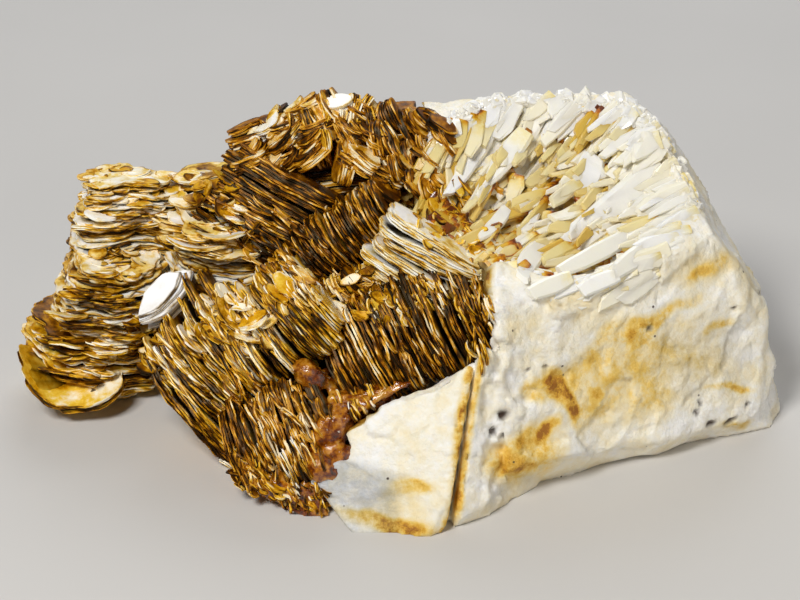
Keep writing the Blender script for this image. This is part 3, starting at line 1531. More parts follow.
@dataclass
class Flakes:
    """The small flakes that lie on the books and fill the seams between them."""

    name: str = "mica_flakes"

    def build(self, finishes: dict[Look, bpy.types.Material]) -> None:
        """Makes one piece of all flakes of each look.

        Args:
            finishes: The materials of mica.
        """
        rng = random.Random(FLAKE_SEED)
        tree = surface(*(made for made in bpy.context.scene.objects if made.name.endswith(FLAKE_BEDS)))
        piles: dict[Look, bmesh.types.BMesh] = {}
        for drift in DRIFTS:
            bm = piles.setdefault(drift.look, new_sheets())
            for flake in drift.flakes(tree, rng):
                add_mesh(bm, flake.mesh())
        for number, (across, uphill, rise, lean, tilt, half_run, half_wide, dish, look) in enumerate(PETALS):
            seat = seen_at(tree, across, uphill, -4.0)
            stack, run = leaning(lean, tilt)
            petal = Book("", seat + rise * OUTWARD, stack, run, half_run, half_wide, 0.8, ledges=1,
                         corners=12, dish=dish, seed=300 + number, packet=0.8, sheet=0.5, crinkle=0.1,
                         ragged=0.15, loose=0.5, square=1.5)
            add_mesh(piles[look], petal.mesh())
        for look, bm in piles.items():
            made = place_piece(f"{self.name}_{look.value}", bm, finishes[look])
            dress(made, "golden_mica")


# ------------------------------------------------------------------------ stone and laths


def merged_copy(node: bpy.types.Object) -> bmesh.types.BMesh:
    """A copy of a solid's mesh in millimetres, in the specimen's frame, with its corners merged.

    Args:
        node: The solid.

    Returns:
        The copy.
    """
    bm = bmesh.new()
    bm.from_mesh(node.data)
    bmesh.ops.remove_doubles(bm, verts=bm.verts, dist=0.000001)
    bm.transform(TO_MM)
    return bm


def remeshed(bm: bmesh.types.BMesh, voxel: float) -> bmesh.types.BMesh:
    """The same shape with an even skin of small faces.

    Args:
        bm: A closed mesh in mm, which is used up.
        voxel: Size of the faces in mm.

    Returns:
        The new mesh.
    """
    mesh = bpy.data.meshes.new("remesh_input")
    bm.to_mesh(mesh)
    bm.free()
    helper = bpy.data.objects.new("remesh_helper", mesh)
    bpy.context.scene.collection.objects.link(helper)
    skin = helper.modifiers.new("skin", "REMESH")
    skin.mode = "VOXEL"
    skin.voxel_size = voxel
    graph = bpy.context.evaluated_depsgraph_get()
    result = bpy.data.meshes.new_from_object(helper.evaluated_get(graph))
    made = bmesh.new()
    made.from_mesh(result)
    bpy.data.objects.remove(helper)
    bpy.data.meshes.remove(mesh)
    bpy.data.meshes.remove(result)
    return made


@dataclass(frozen=True)
class Blot:
    """A soft patch on the front, as seen against the slope's plane.

    Attributes:
        across: Its middle, across the slope, in mm.
        uphill: Its middle, up the slope.
        radii: Half its length and half its width.
        strength: How strong it is at its middle.
        turn: How far it is turned, in degrees.
    """

    across: float
    uphill: float
    radii: tuple[float, float]
    strength: float
    turn: float = 0.0

    def at(self, across: float, uphill: float) -> float:
        """Its strength at a place.

        Args:
            across: Place across the slope.
            uphill: Place up the slope.

        Returns:
            The strength, from 0 up.
        """
        turn = math.radians(self.turn)
        x, y = across - self.across, uphill - self.uphill
        along, aside = x * math.cos(turn) + y * math.sin(turn), y * math.cos(turn) - x * math.sin(turn)
        distance = math.hypot(along / self.radii[0], aside / self.radii[1])
        return self.strength * (1.0 - fade(distance, 0.35, 1.0))


IRON_STAINS = (
    Blot(42.7, -2.2, (8.5, 2.6), 0.85, 33.0),
    Blot(49.0, 1.6, (4.0, 1.6), 0.5, 20.0),
    Blot(36.0, -5.5, (8.0, 4.6), 0.6, 42.0),
    Blot(28.3, -13.9, (8.4, 3.0), 1.0, -60.0),
    Blot(24.0, -13.0, (3.4, 3.0), 0.6),
    Blot(21.5, -24.0, (10.0, 5.4), 0.75, 25.0),
    Blot(18.6, -25.4, (4.6, 2.8), 0.85, 60.0),
    Blot(25.4, -21.4, (5.6, 2.0), 0.95, 70.0),
    Blot(33.4, -13.7, (2.0, 1.4), 0.7),
    Blot(44.0, -9.0, (17.0, 11.0), 0.42, 20.0),
    Blot(33.0, -13.0, (9.0, 9.0), 0.4),
    Blot(57.8, -19.0, (4.0, 1.6), 0.6, 0.0),
    Blot(56.0, -12.8, (6.0, 0.9), 0.7, -5.0),
    Blot(54.4, -2.4, (3.4, 1.2), 0.6, 10.0),
    Blot(53.0, 7.0, (6.5, 2.2), 0.5, 25.0),
    Blot(34.0, 35.0, (3.6, 1.6), 0.75, 10.0),
    Blot(40.0, 27.5, (4.5, 1.6), 0.6, 30.0),
    Blot(45.0, 20.0, (4.0, 1.6), 0.5, 30.0),
    Blot(18.0, 33.0, (2.0, 2.6), 0.55, 80.0),
    Blot(3.6, -29.6, (5.4, 1.9), 0.55, -4.0),
    Blot(-1.0, -35.6, (12.0, 2.2), 0.85, -12.0),
)
# The part of the front without any stain, between the hollow and the crack
CLEAN_ZONES = (
    Blot(24.0, -2.5, (19.0, 8.5), 0.85, 40.0),
    Blot(8.0, -15.0, (11.0, 5.5), 0.6, 38.0),
)
# Where mica covers the stone and its dirt has stained it brown
MICA_BED = (
    Blot(-26.0, 12.0, (46.0, 32.0), 2.6, 8.0),
    Blot(-14.0, -16.0, (20.0, 12.0), 2.6, -50.0),
    Blot(4.0, 4.0, (18.0, 15.0), 2.2, 30.0),
    Blot(2.0, 24.0, (12.0, 18.0), 2.0, 10.0),
    Blot(-32.0, -25.0, (12.0, 10.0), 2.6),
)
GREY_ZONES = (
    Blot(51.0, -8.0, (12.0, 9.0), 0.45, 20.0),
    Blot(-6.5, -28.2, (11.5, 4.2), 1.2, -14.0),
    Blot(20.0, -30.0, (6.0, 3.0), 0.4, 20.0),
)
PITS = (
    Blot(18.4, -17.2, (1.7, 1.1), 1.0, 15.0),
    Blot(16.4, -19.8, (0.8, 1.2), 0.9, 0.0),
    Blot(53.5, -18.6, (1.3, 0.8), 1.0, 20.0),
    Blot(56.5, -18.2, (1.9, 0.5), 0.9, 40.0),
    Blot(51.4, -15.2, (0.5, 0.9), 0.8, 20.0),
    Blot(25.6, -9.2, (0.6, 0.5), 1.0),
    Blot(57.3, 0.8, (0.6, 0.6), 0.9),
    Blot(62.0, 3.4, (0.7, 0.4), 0.8),
    Blot(43.0, -2.4, (0.9, 0.5), 0.8, 20.0),
    Blot(15.0, -6.0, (1.4, 0.5), 0.8, 60.0),
    Blot(22.4, -9.6, (0.6, 0.4), 0.9, 20.0),
    Blot(18.0, -20.6, (0.6, 0.9), 0.9, 0.0),
    Blot(50.8, -16.8, (0.5, 0.8), 0.9, 40.0),
    Blot(59.4, -15.4, (1.0, 0.4), 0.9, 20.0),
)
# Corners of the cleaved spur at the foot of the tongue: places across, up and out from the slope
SPUR = (
    (-13.8, -24.2, 14.8), (-8.5, -24.4, 15.2), (0.6, -28.8, 15.6), (1.0, -32.2, 13.6),
    (-8.8, -30.8, 13.4), (-14.0, -28.0, 13.8), (-12.0, -24.8, 9.0), (-7.0, -23.0, 9.0),
    (1.0, -27.0, 8.0), (1.0, -31.0, 9.0), (-8.0, -29.6, 8.0), (-12.6, -27.6, 9.0),
)
CRACK_FOOT = Vector((8.6, -30.0, 0.0))
CRACK_TOP = Vector((13.0, -20.5, 26.0))


@dataclass
class Feldspar:
    """The feldspar body: lumpy where broken, stepped where cleaved, stained on its front.

    Attributes:
        voxel: Size of its faces in mm.
        lump: Height of its lumps in mm.
        step: Height of its cleavage steps in mm.
        crumb: Height of its coarse grain in mm.
        skin: How far the front reaches back from the slope before the stains end, in mm.
    """

    voxel: float = 0.54
    lump: float = 0.2
    step: float = 0.85
    crumb: float = 0.26
    skin: float = -14.0

    def groove(self, point: Vector, normal: Vector) -> float:
        """How surely a place is on a wall of the crack, which is drawn in to a thin line.

        Args:
            point: The place, in mm.
            normal: Which way the surface faces there.

        Returns:
            From 0 to 1.
        """
        axis = (CRACK_TOP - CRACK_FOOT).normalized()
        away = point - CRACK_FOOT
        beside = away - away.dot(axis) * axis
        near = (1.0 - fade(abs(beside.x), 1.4, 2.4)) * (1.0 - fade(beside.length, 5.0, 8.0))
        return fade(abs(normal.x), 0.5, 0.8) * near

    def relief(self, point: Vector) -> float:
        """How far the surface stands out from the solid's at a place.

        Args:
            point: The place, in mm.

        Returns:
            The height in mm.
        """
        lumps = ripple(point, 7.5) + 0.4 * ripple(point, 3.1, 3.0) + 0.25 * ripple(point, 1.4, 7.0)
        away = point - on_slope(*PLATE_FOCUS, 0.0)
        ring = math.hypot(away.dot(ACROSS), away.dot(UPHILL))
        turn = math.atan2(away.dot(UPHILL), away.dot(ACROSS))
        spread = Vector((0.55 * ring, 14.0 * turn, 0.5 * away.dot(OUTWARD)))
        plates = plate(spread, 4.4) + 0.5 * plate(spread + Vector((9.0, 4.0, 2.0)), 2.1)
        crumbs = plate(point, 1.9)
        across, uphill, outward = from_front(point)
        behind = fade(-outward, 10.0, 20.0) * (1.1 * ripple(point, 12.0, 31.0) + 0.8 * plate(point, 8.0))
        end = (1.0 - fade(abs(across - 16.8), 1.5, 3.5)) * fade(outward, 2.0, 6.0)
        broken = end * (1.1 * ripple(point, 2.4, 11.0) + 0.6 * plate(point, 1.7))
        return self.lump * lumps + self.step * plates + self.crumb * crumbs + behind + broken

    def spur(self) -> bmesh.types.BMesh:
        """The cleaved spur at the foot of the tongue.

        Returns:
            Its mesh, in mm.
        """
        bm = bmesh.new()
        corners = [bm.verts.new(on_slope(*corner)) for corner in SPUR]
        hull = bmesh.ops.convex_hull(bm, input=corners)
        bmesh.ops.delete(bm, geom=hull["geom_interior"] + hull["geom_unused"], context="VERTS")
        return bm

    def flat(self, point: Vector) -> float:
        """How surely a place is on the flat front of the spur.

        Args:
            point: The place, in mm.

        Returns:
            From 0 to 1.
        """
        across, uphill, outward = from_front(point)
        under = -0.434 * (across + 8.5) - 0.901 * (uphill + 24.4)
        return fade(under, -0.4, 0.4) * (1.0 - fade(across, -0.6, 1.6)) * fade(outward, 10.0, 13.0)

    def tucked(self, point: Vector) -> Vector:
        """How far the corner of the body under the fan is drawn in, so that the mica covers it."""
        share = fade(-point.x, 28.5, 32.0) * (1.0 - fade(point.z, 8.0, 12.0)) * fade(-point.y, -12.0, -2.0)
        return share * Vector((3.4, 3.0, 0.0))

    def stains(self, point: Vector) -> tuple[float, float, float]:
        """The stain, grey and pit shares at a place.

        Args:
            point: The place, in mm.

        Returns:
            The three shares, from 0 to 1.
        """
        across, uphill, outward = from_front(point)
        front = fade(outward, self.skin - 6.0, self.skin + 4.0)
        wander = Vector((ripple(point, 5.0, 2.0), ripple(point, 5.0, 9.0), 0.0)) * 1.4
        spot = (across + wander.x, uphill + wander.y)
        clean = front * max(blot.at(*spot) for blot in CLEAN_ZONES)
        stain = front * max(blot.at(*spot) for blot in IRON_STAINS) - clean
        grey = max(front * max(blot.at(*spot) for blot in GREY_ZONES), self.flat(point))
        pit = front * max(blot.at(across + 0.3 * wander.x, uphill + 0.3 * wander.y) for blot in PITS)
        bed = max(blot.at(*spot) for blot in MICA_BED) * fade(outward, -34.0, -24.0)
        tongue = fade(0.582 * (across + 11.5) - 0.812 * (uphill + 26.8) + 0.6 * wander.x, -3.6, -3.0)
        tongue *= fade(outward + 2.0 * wander.y, 1.0, 3.0)
        top = fade(across + wander.x, 4.0, 6.0) * fade(uphill, 22.0, 26.0)
        bare = max(tongue, fade(across, 15.5, 17.0), top)
        patchy = 1.6 * (ripple(point, 5.0, 8.0) + 0.4 * ripple(point, 1.8, 3.0)) * fade(-outward, 8.0, 16.0)
        dirt = fade(bed + patchy, 0.35, 0.75) * (1.0 - bare)
        pit = max(pit, (0.55 + 0.5 * ripple(point, 2.6, 5.0)) * dirt)
        axis = (CRACK_TOP - CRACK_FOOT).normalized()
        away = point - CRACK_FOOT
        beside = (away - away.dot(axis) * axis).xy.length
        if away.dot(axis) < (CRACK_TOP - CRACK_FOOT).length + 2.0:
            stain = max(stain, 0.95 * (1.0 - fade(beside, 0.9, 2.2)))
        far = (1.0 - front) * max(0.0, ripple(point, 13.0, 21.0) - 0.1) * 1.5
        return min(1.0, max(stain, far, dirt)), grey, pit

    def build(self, node: bpy.types.Object, material: bpy.types.Material) -> bpy.types.Object:
        """Makes the body and puts it in the place of its solid.

        Args:
            node: The solid.
            material: Its finish.

        Returns:
            The body's object.
        """
        bm = merged_copy(node)
        add_mesh(bm, self.spur())
        bm = remeshed(bm, self.voxel)
        stain, grey, pit = (bm.verts.layers.float.new(name) for name in ("stain", "grey", "pit"))
        bm.normal_update()
        moves = []
        for vert in bm.verts:
            vert[stain], vert[grey], vert[pit] = self.stains(vert.co)
            foot = fade(vert.co.z, 0.3, 2.5)
            narrow = self.groove(vert.co, vert.normal)
            rough = self.relief(vert.co) * (1.0 - narrow) * (1.0 - 0.85 * self.flat(vert.co))
            rise = foot * (rough - 0.6 * vert[pit] + 0.42 * narrow)
            moves.append(vert.normal * rise + self.tucked(vert.co))
        shift(bm, moves)
        made = place_piece("feldspar_body", bm, material)
        dress(made, "white_feldspar", "feldspar_matrix")
        return made


# The large laths of the hollow: place of the tip and of the root across and up the slope, each with
# its rise over what is there, then half width and half thickness
LATHS = (
    ((8.5, 19.5, 2.2), (14.7, 29.2, 0.4), 1.4, 0.8),
    ((11.6, 24.4, 1.6), (15.6, 31.0, 0.2), 1.9, 1.0),
    ((13.2, 23.2, 1.8), (19.5, 32.0, 0.2), 1.5, 0.8),
    ((14.4, 21.0, 2.6), (25.1, 33.9, 0.5), 2.0, 1.0),
    ((4.6, 31.2, 0.8), (8.0, 35.0, 0.2), 1.9, 1.2),
    ((28.6, 11.0, 3.4), (44.6, 24.6, 1.0), 2.9, 1.3),
    ((27.6, 6.9, 2.2), (40.5, 13.6, 0.5), 1.6, 0.9),
    ((36.4, 6.3, 1.0), (44.6, 11.7, 0.6), 1.7, 1.0),
    ((30.4, 18.2, 3.0), (33.6, 26.4, 0.8), 2.5, 0.9),
    ((27.0, 31.6, 0.8), (30.6, 26.2, 0.8), 0.8, 0.5),
    ((32.8, 31.5, 0.8), (30.8, 26.0, 0.8), 0.8, 0.5),
    ((21.4, 5.6, 1.2), (24.8, 11.4, 1.0), 1.9, 0.8),
    ((14.0, 12.4, 1.4), (18.8, 17.4, 1.0), 1.3, 0.7),
    ((23.0, 14.6, 1.6), (24.2, 21.4, 0.8), 1.2, 0.7),
    ((25.6, 15.0, 1.6), (26.4, 23.6, 0.8), 1.0, 0.6),
    ((40.0, 27.5, 0.4), (46.0, 31.5, 0.2), 2.2, 1.0),
    ((22.5, 3.2, 0.8), (29.5, 6.0, 0.5), 1.5, 0.8),
    ((31.0, 3.6, 0.6), (37.5, 6.4, 0.4), 1.4, 0.8),
)


@dataclass
class Lath:
    """One lath of platy feldspar, tapered and cut off at a slant.

    Attributes:
        tip: Its free end.
        root: Its fixed end.
        half_width: Half its width at its broadest, in mm.
        half_thick: Half its thickness.
        facing: Direction that its broad face is turned to.
        shade: From 0 for milky white to 1 for greenish yellow.
        stain: How rusty it is at its root.
        cuts: Rings of corners between its ends.
    """

    tip: Vector
    root: Vector
    half_width: float
    half_thick: float
    facing: Vector
    shade: float = 0.1
    stain: float = 0.5
    cuts: int = 2

    def mesh(self, rng: random.Random) -> bmesh.types.BMesh:
        """The lath in its place.

        Args:
            rng: Source of its uneven sizes.

        Returns:
            Its mesh in mm, with the attributes of the finish.
        """
        lath = bmesh.new()
        length = (self.tip - self.root).length
        bmesh.ops.create_cube(lath, size=2.0)
        along = [edge for edge in lath.edges if abs(edge.verts[0].co.z - edge.verts[1].co.z) > 1.0]
        bmesh.ops.subdivide_edges(lath, edges=along, cuts=self.cuts, use_grid_fill=True)
        loose = 0.24 / self.cuts
        taper, slant = rng.uniform(0.4, 0.8), rng.choice((-1.0, 1.0)) * rng.uniform(0.2, 0.9)
        bow = rng.uniform(-0.04, 0.04) * length
        for vert in lath.verts:
            share = (vert.co.z + 1.0) / 2.0
            narrow = 0.8 + 0.9 * share - (1.7 - taper) * share * share
            x = vert.co.x * self.half_width * narrow * rng.uniform(1.0 - loose, 1.0 + loose)
            uneven = rng.uniform(1.0 - 1.6 * loose, 1.0 + loose)
            y = vert.co.y * self.half_thick * (1.0 - 0.35 * share) * uneven
            z = share * length
            if share > 0.99:
                z -= max(0.0, slant * vert.co.x) * self.half_width * 1.1
            vert.co = (x + bow * math.sin(math.pi * share), y, z)
        span = 0.6 * length / (self.cuts + 1)
        corners = [edge for edge in lath.edges if abs(edge.verts[0].co.z - edge.verts[1].co.z) > span]
        bmesh.ops.bevel(
            lath,
            geom=corners,
            offset=0.24 * self.half_width,
            affect="EDGES",
            segments=1,
            profile=0.5,
            material=-1,
        )
        tone, rust = lath.verts.layers.float.new("tone"), lath.verts.layers.float.new("stain")
        for vert in lath.verts:
            vert[tone] = self.shade
            vert[rust] = self.stain * (1.0 - fade(vert.co.z / length, 0.0, 0.5))
        axis = (self.tip - self.root).normalized()
        side = axis.cross(self.facing).normalized()
        turn = Matrix((side, axis.cross(side), axis)).transposed().to_4x4()
        lath.transform(Matrix.Translation(self.root) @ turn)
        bmesh.ops.recalc_face_normals(lath, faces=lath.faces)
        return lath


@dataclass
class Lining:
    """The lining of the hollow: a crust, and laths that all point down towards its lower left.

    Attributes:
        stone: The surface of the feldspar round it, in mm.
        voxel: Size of the crust's faces in mm.
        rim_count: How many laths stand round its rim.
        wall_count: How many stand on its walls.
        sill_count: How many lie over its sill at the front.
        crumb_count: How many blunt grains hide where it meets the stone.
        tuft_count: How many brown laths stand in the gap of the mica beside it.
    """

    stone: BVHTree
    voxel: float = 0.5
    rim_count: int = 260
    wall_count: int = 760
    sill_count: int = 46
    crumb_count: int = 300
    tuft_count: int = 90
    rng: random.Random = field(default_factory=lambda: random.Random(LATH_SEED))

    def __post_init__(self) -> None:
        """Finds the hollow's frame and the height of the stone round its rim."""
        self.frame = Matrix.Translation(HOLLOW_CENTRE) @ Matrix.Rotation(HOLLOW_TILT, 4, "X")
        self.outside = (self.frame.to_3x3() @ Vector((0.0, 0.0, 1.0))).normalized()
        self.levels = [self.level(math.radians(5 * k)) for k in range(72)]

    def above(self, angle: float, reach: float) -> Vector:
        """A place high over the hollow, in the direction of angle and at that share of its radii."""
        x, y = reach * math.cos(angle) * HOLLOW_RADII.x, reach * math.sin(angle) * HOLLOW_RADII.y
        return self.frame @ Vector((x, y, 16.0))

    def level(self, angle: float) -> float:
        """Height of the stone just outside the rim, over the rim's plane.

        Args:
            angle: Direction round the rim, in radians.

        Returns:
            The height in mm.
        """
        heights = []
        for reach in (1.06, 1.12):
            hit = self.stone.ray_cast(self.above(angle, reach), -self.outside, 30.0)
            heights.append((self.frame.inverted() @ hit[0]).z if hit[0] is not None else -4.0)
        return min(heights)

    def crust(self, node: bpy.types.Object) -> bmesh.types.BMesh:
        """Makes the uneven skin of the hollow, white at its rim and no higher than the stone there.

        Args:
            node: The solid that the skin is made from.

        Returns:
            Its mesh, in mm.
        """
        bm = remeshed(merged_copy(node), self.voxel)
        tone, rust = bm.verts.layers.float.new("tone"), bm.verts.layers.float.new("stain")
        bm.normal_update()
        inside = self.frame.inverted()
        moves = []
        for vert in bm.verts:
            place = inside @ vert.co
            x, y = place.x / HOLLOW_RADII.x, place.y / HOLLOW_RADII.y
            rim = fade(math.hypot(x, y), 0.74, 0.95)
            top = self.levels[round(math.degrees(math.atan2(y, x)) / 5.0) % 72] - 0.5
            uneven = 0.6 * ripple(vert.co, 2.4) + 0.35 * ripple(vert.co, 1.0, 2.0)
            vert[tone] = min(1.0, max(0.0, 0.8 + 0.8 * ripple(vert.co, 4.0))) * (1.0 - rim)
            vert[rust] = min(1.0, max(0.0, 0.62 + 1.3 * ripple(vert.co, 5.0, 4.0))) * (1.0 - 0.85 * rim)
            sunk = max(0.0, place.z - top) if rim > 0.0 else 0.0
            moves.append(vert.normal * uneven * (1.0 - rim) - self.outside * sunk)
        shift(bm, moves)
        return bm

    def pick(
        self, tree: BVHTree, turns: Range, reaches: Range
    ) -> tuple[Vector, Vector, Vector] | None:
        """A random place in the hollow.

        Args:
            tree: The surface to find it on.
            turns: First and last direction round the hollow, in degrees.
            reaches: Smallest and largest share of its radii.

        Returns:
            The place, the surface's normal and the way down towards the focus, or None off the surface.
        """
        angle = math.radians(self.rng.uniform(*turns))
        reach = math.sqrt(self.rng.uniform(reaches[0] ** 2, reaches[1] ** 2))
        hit = tree.ray_cast(self.above(angle, reach), -self.outside, 40.0)
        if hit[0] is None:
            return None
        down = on_slope(*LATH_FOCUS, 0.0) - hit[0]
        down -= down.dot(OUTWARD) * OUTWARD
        return hit[0], hit[1], down.normalized()

    def grow(
        self,
        bm: bmesh.types.BMesh,
        tree: BVHTree,
        count: int,
        rim: bool,
        turns: tuple[float, float] = (-50.0, 165.0),
    ) -> None:
        """Grows laths on the walls or round the rim.

        Args:
            bm: The mesh that gets them.
            tree: What they are rooted on.
            count: How many to grow.
            rim: True round the rim, where they are longer and whiter.
            turns: First and last direction round the rim, in degrees.
        """
        for _ in range(count):
            found = self.pick(tree, turns if rim else (0.0, 360.0), (0.8, 1.05) if rim else (0.0, 0.95))
            if found is None:
                continue
            place, normal, down = found
            olive = 1.0 - fade(from_front(place)[0], 5.0, 14.0)
            jitter = Vector([self.rng.uniform(-1, 1) for _ in range(3)])
            away = (down + (0.1 if rim else 0.4) * normal + 0.1 * OUTWARD + 0.16 * jitter).normalized()
            length = self.rng.uniform(4.5, 11.0) if rim else self.rng.uniform(3.0, 9.0)
            half_width = self.rng.uniform(0.6, 1.6) if rim else self.rng.uniform(0.45, 1.25)
            lath = Lath(
                place + length * away,
                place - 1.0 * away - 0.6 * normal,
                half_width,
                half_width * self.rng.uniform(0.35, 0.8),
                (OUTWARD + 0.55 * jitter).normalized(),
                min(1.0, 0.7 * olive + (self.rng.uniform(0.0, 0.4) if rim else self.rng.uniform(0.15, 1.0))),
                0.9 * olive + (self.rng.uniform(0.0, 0.4) if rim else self.rng.uniform(0.3, 1.4)),
            )
            add_mesh(bm, lath.mesh(self.rng))

    def tuft(self, bm: bmesh.types.BMesh) -> None:
        """Grows the patch of brown laths between the mica's ridge and its tablets.

        Args:
            bm: The mesh that they are added to.
        """
        for _ in range(self.tuft_count):
            across, uphill = self.rng.uniform(-6.5, 5.5), self.rng.uniform(14.5, 24.0)
            place = seen_at(self.stone, across, uphill, -8.0)
            jitter = Vector([self.rng.uniform(-1, 1) for _ in range(3)])
            away = (0.9 * OUTWARD - 0.5 * UPHILL + 0.1 * ACROSS + 0.3 * jitter).normalized()
            half_width = self.rng.uniform(0.6, 1.4)
            lath = Lath(
                place + self.rng.uniform(3.0, 8.0) * away,
                place - away,
                half_width,
                0.6 * half_width,
                (UPHILL + 0.6 * jitter).normalized(),
                self.rng.uniform(0.6, 1.0),
                self.rng.uniform(0.9, 2.4),
            )
            add_mesh(bm, lath.mesh(self.rng))

    def crumble(self, bm: bmesh.types.BMesh) -> None:
        """Strews blunt white grains where the crust meets the stone.

        Args:
            bm: The mesh that they are added to.
        """
        for _ in range(self.crumb_count):
            found = self.pick(self.stone, (-5.0, 190.0), (0.96, 1.1))
            if found is None:
                continue
            place, normal, _ = found
            jitter = Vector([self.rng.uniform(-1, 1) for _ in range(3)])
            away = (jitter - jitter.dot(normal) * normal + 0.25 * normal).normalized()
            size = self.rng.uniform(0.5, 1.6)
            lath = Lath(
                place + size * away - 0.2 * size * normal,
                place - size * away - 0.45 * size * normal,
                size * 0.9,
                size * self.rng.uniform(0.35, 0.6),
                (normal + 0.4 * jitter).normalized(),
                self.rng.uniform(0.0, 0.2),
                self.rng.uniform(0.0, 0.3),
                1,
            )
            add_mesh(bm, lath.mesh(self.rng))

    def build(self, node: bpy.types.Object, material: bpy.types.Material) -> bpy.types.Object:
        """Makes the lining and puts it in the place of its solid.

        Args:
            node: The solid.
            material: Its finish.

        Returns:
            The lining's object.
        """
        bm = self.crust(node)
        walls = BVHTree.FromBMesh(bm)
        for tip, root, half_width, half_thick in LATHS:
            shade, stain = self.rng.uniform(0.0, 0.2), self.rng.uniform(0.0, 0.3)
            facing = (OUTWARD + Vector([self.rng.uniform(-0.3, 0.3) for _ in range(3)])).normalized()
            ends = [
                max((seen_at(tree, across, uphill, 0.0) for tree in (walls, self.stone)), key=OUTWARD.dot)
                + rise * OUTWARD
                for across, uphill, rise in (tip, root)
            ]
            lath = Lath(ends[0], ends[1], half_width, half_thick, facing, shade, stain, 6)
            add_mesh(bm, lath.mesh(self.rng))
        self.tuft(bm)
        self.grow(bm, walls, self.wall_count, False)
        self.grow(bm, self.stone, self.rim_count, True)
        self.grow(bm, self.stone, self.sill_count, True, (-92.0, -45.0))
        self.crumble(bm)
        made = place_piece("lath_lining", bm, material)
        dress(made, "pale_blades", "cleavelandite_blades")
        return made


# Lumps of quartz: place across and up the slope, rise over what is there, half sizes and turn
LUMPS = (
    (-14.2, -10.6, -1.0, (3.2, 2.2, 2.4), -30.0),
    (-6.5, -15.4, -1.2, (6.8, 3.0, 3.0), 18.0),
    (-10.5, -19.0, -1.4, (4.4, 3.2, 2.6), 40.0),
    (-9.4, -22.6, -1.0, (3.6, 2.6, 2.8), 35.0),
    (-9.8, -24.4, -1.3, (3.0, 2.1, 2.8), 10.0),
    (-12.6, -26.0, -1.4, (3.4, 2.4, 2.6), -20.0),
    (-20.5, -28.4, -2.0, (7.6, 3.0, 3.6), -28.0),
    (-12.6, -30.6, -1.6, (5.6, 2.2, 3.0), -8.0),
)


@dataclass
class Quartz:
    """The seam of stained quartz under the mica, and the lumps of it between the books.

    Attributes:
        rest: The surface that the lumps are seated on, in mm.
        voxel: Size of its faces in mm.
    """

    rest: BVHTree
    voxel: float = 0.5

    def lump(self, across: float, uphill: float, rise: float, radii: Place, turn: float) -> bmesh.types.BMesh:
        """One rounded lump.

        Args:
            across: Its place across the slope, as the eye sees it.
            uphill: Its place up the slope.
            rise: How far its middle stands out over what is there, in mm.
            radii: Half its size along the slope, up it and out from it.
            turn: How far it is turned on the slope, in degrees.

        Returns:
            Its mesh.
        """
        bm = bmesh.new()
        bmesh.ops.create_icosphere(bm, subdivisions=4, radius=1.0)
        bmesh.ops.scale(bm, vec=radii, verts=bm.verts)
        seat = seen_at(self.rest, across, uphill, 9.0)
        lean = math.radians(turn)
        run = math.cos(lean) * ACROSS + math.sin(lean) * UPHILL
        bm.transform(placing(OUTWARD, run, seat + rise * OUTWARD))
        for vert in bm.verts:
            vert.co.z = max(vert.co.z, CLEARANCE)
        return bm

    def build(self, node: bpy.types.Object, material: bpy.types.Material) -> bpy.types.Object:
        """Makes the quartz and puts it in the place of its solid.

        Args:
            node: The solid.
            material: Its finish.

        Returns:
            The quartz's object.
        """
        bm = merged_copy(node)
        for lump in LUMPS:
            add_mesh(bm, self.lump(*lump))
        bm = remeshed(bm, self.voxel)
        bm.normal_update()
        moves = []
        for vert in bm.verts:
            bumps = 0.6 * ripple(vert.co, 4.5) + 0.85 * plate(vert.co, 2.6) + 0.3 * plate(vert.co, 1.2)
            moves.append(vert.normal * bumps * fade(vert.co.z, 0.3, 2.0))
        shift(bm, moves)
        made = place_piece("quartz_seam", bm, material)
        dress(made, "stained_quartz", "stained_quartz")
        return made


# ---------------------------------------------------------------------------------- studio


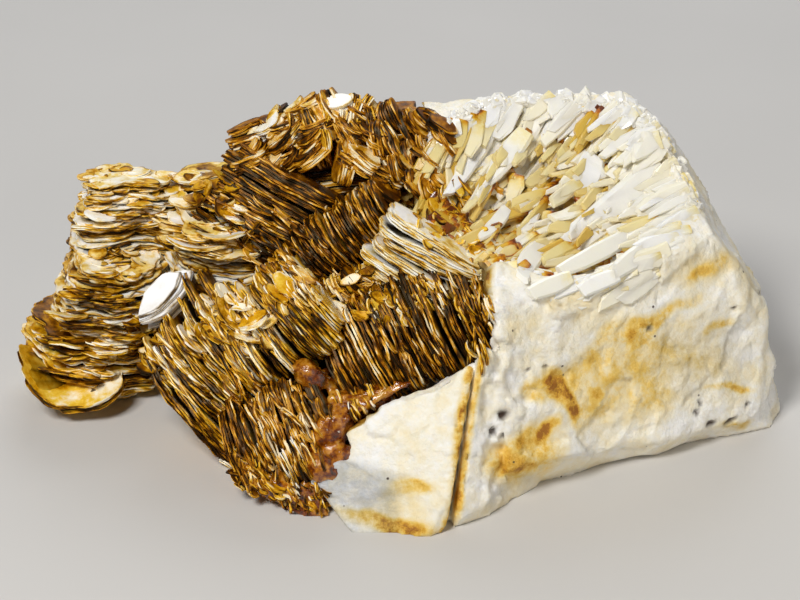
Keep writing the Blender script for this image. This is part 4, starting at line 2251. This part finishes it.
@dataclass
class Studio:
    """A pale table, soft lights and the camera.

    Attributes:
        target: The place that the camera looks at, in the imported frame, in mm.
        elevation: Its height over the horizon in degrees.
        distance: Its distance from the target, in mm.
        scale: Size of one millimetre at that distance, in 1/800ths of the view's width.
        shift: How far the view is shifted, as shares of its width.
    """

    target: Place = (0.0, 0.0, 24.0)
    elevation: float = 30.0
    distance: float = VIEW_DISTANCE
    scale: float = 5.9
    shift: tuple[float, float] = (0.006, 0.0105)

    def camera(self) -> None:
        """Makes the camera."""
        data = bpy.data.cameras.new("camera")
        data.sensor_width = 36.0
        data.lens = data.sensor_width * self.scale * self.distance / 800.0
        data.shift_x, data.shift_y = self.shift
        data.clip_start, data.clip_end = 0.02, 20.0
        made = bpy.data.objects.new("camera", data)
        elevation = math.radians(self.elevation)
        back = Vector((0.0, -math.cos(elevation), math.sin(elevation)))
        made.location = (Vector(self.target) + self.distance * back) * MM
        made.rotation_mode = "QUATERNION"
        made.rotation_quaternion = (-back).to_track_quat("-Z", "Y")
        bpy.context.scene.collection.objects.link(made)
        bpy.context.scene.camera = made

    def light(self, name: str, place: Place, size: float, power: float, colour: str) -> None:
        """Adds a soft square light.

        Args:
            name: Its name.
            place: Where it stands, in mm; it points at the camera's target.
            size: Its side in mm.
            power: Its power in watts.
            colour: Its sRGB hex colour.
        """
        data = bpy.data.lights.new(name, "AREA")
        data.size = size * MM
        data.energy = power
        data.color = srgb(colour)[:3]
        made = bpy.data.objects.new(name, data)
        made.location = Vector(place) * MM
        made.rotation_mode = "QUATERNION"
        made.rotation_quaternion = (Vector(self.target) - Vector(place)).to_track_quat("-Z", "Y")
        bpy.context.scene.collection.objects.link(made)

    def table(self) -> None:
        """Makes the table."""
        bm = bmesh.new()
        bmesh.ops.create_grid(bm, x_segments=1, y_segments=1, size=20.0)
        mesh = bpy.data.meshes.new("table")
        bm.to_mesh(mesh)
        bm.free()
        mesh.materials.append(FloorFinish().material())
        made = bpy.data.objects.new("table", mesh)
        bpy.context.scene.collection.objects.link(made)

    def build(self) -> None:
        """Makes everything round the specimen."""
        self.camera()
        self.table()
        self.light("key", (-240.0, -360.0, 560.0), 200.0, 4.0, "#FFFFFF")
        self.light("fill", (420.0, -360.0, 220.0), 500.0, 0.8, "#FFF8EE")
        self.light("back", (60.0, 460.0, 420.0), 400.0, 1.5, "#F4F8FF")
        world = bpy.data.worlds.new("studio")
        world.use_nodes = True
        sky = world.node_tree.nodes["Background"]
        sky.inputs["Color"].default_value = srgb("#F2F2F4")
        sky.inputs["Strength"].default_value = SKY_STRENGTH
        bpy.context.scene.world = world
        bpy.context.scene.view_settings.view_transform = "Standard"


def main() -> None:
    """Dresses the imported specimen."""
    logging.basicConfig(level=logging.INFO, format="%(message)s")
    noise.seed_set(NOISE_SEED)
    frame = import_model()
    Studio().build()
    mica = {look: finish.material() for look, finish in MICA_FINISHES.items()}
    for book in BOOKS:
        book.build(mica)
    place_small_books(mica)
    UpperStack().build(mica)
    body = Feldspar().build(frame["nodes"]["feldspar_matrix"], FeldsparFinish().material())
    Lining(surface(body)).build(frame["nodes"]["cleavelandite_blades"], LathFinish().material())
    books = surface(*(made for made in bpy.context.scene.objects if "_sheets" in made.name), body)
    Quartz(books).build(frame["nodes"]["stained_quartz"], QuartzFinish().material())
    Flakes().build(mica)


if __name__ == "__main__":
    main()
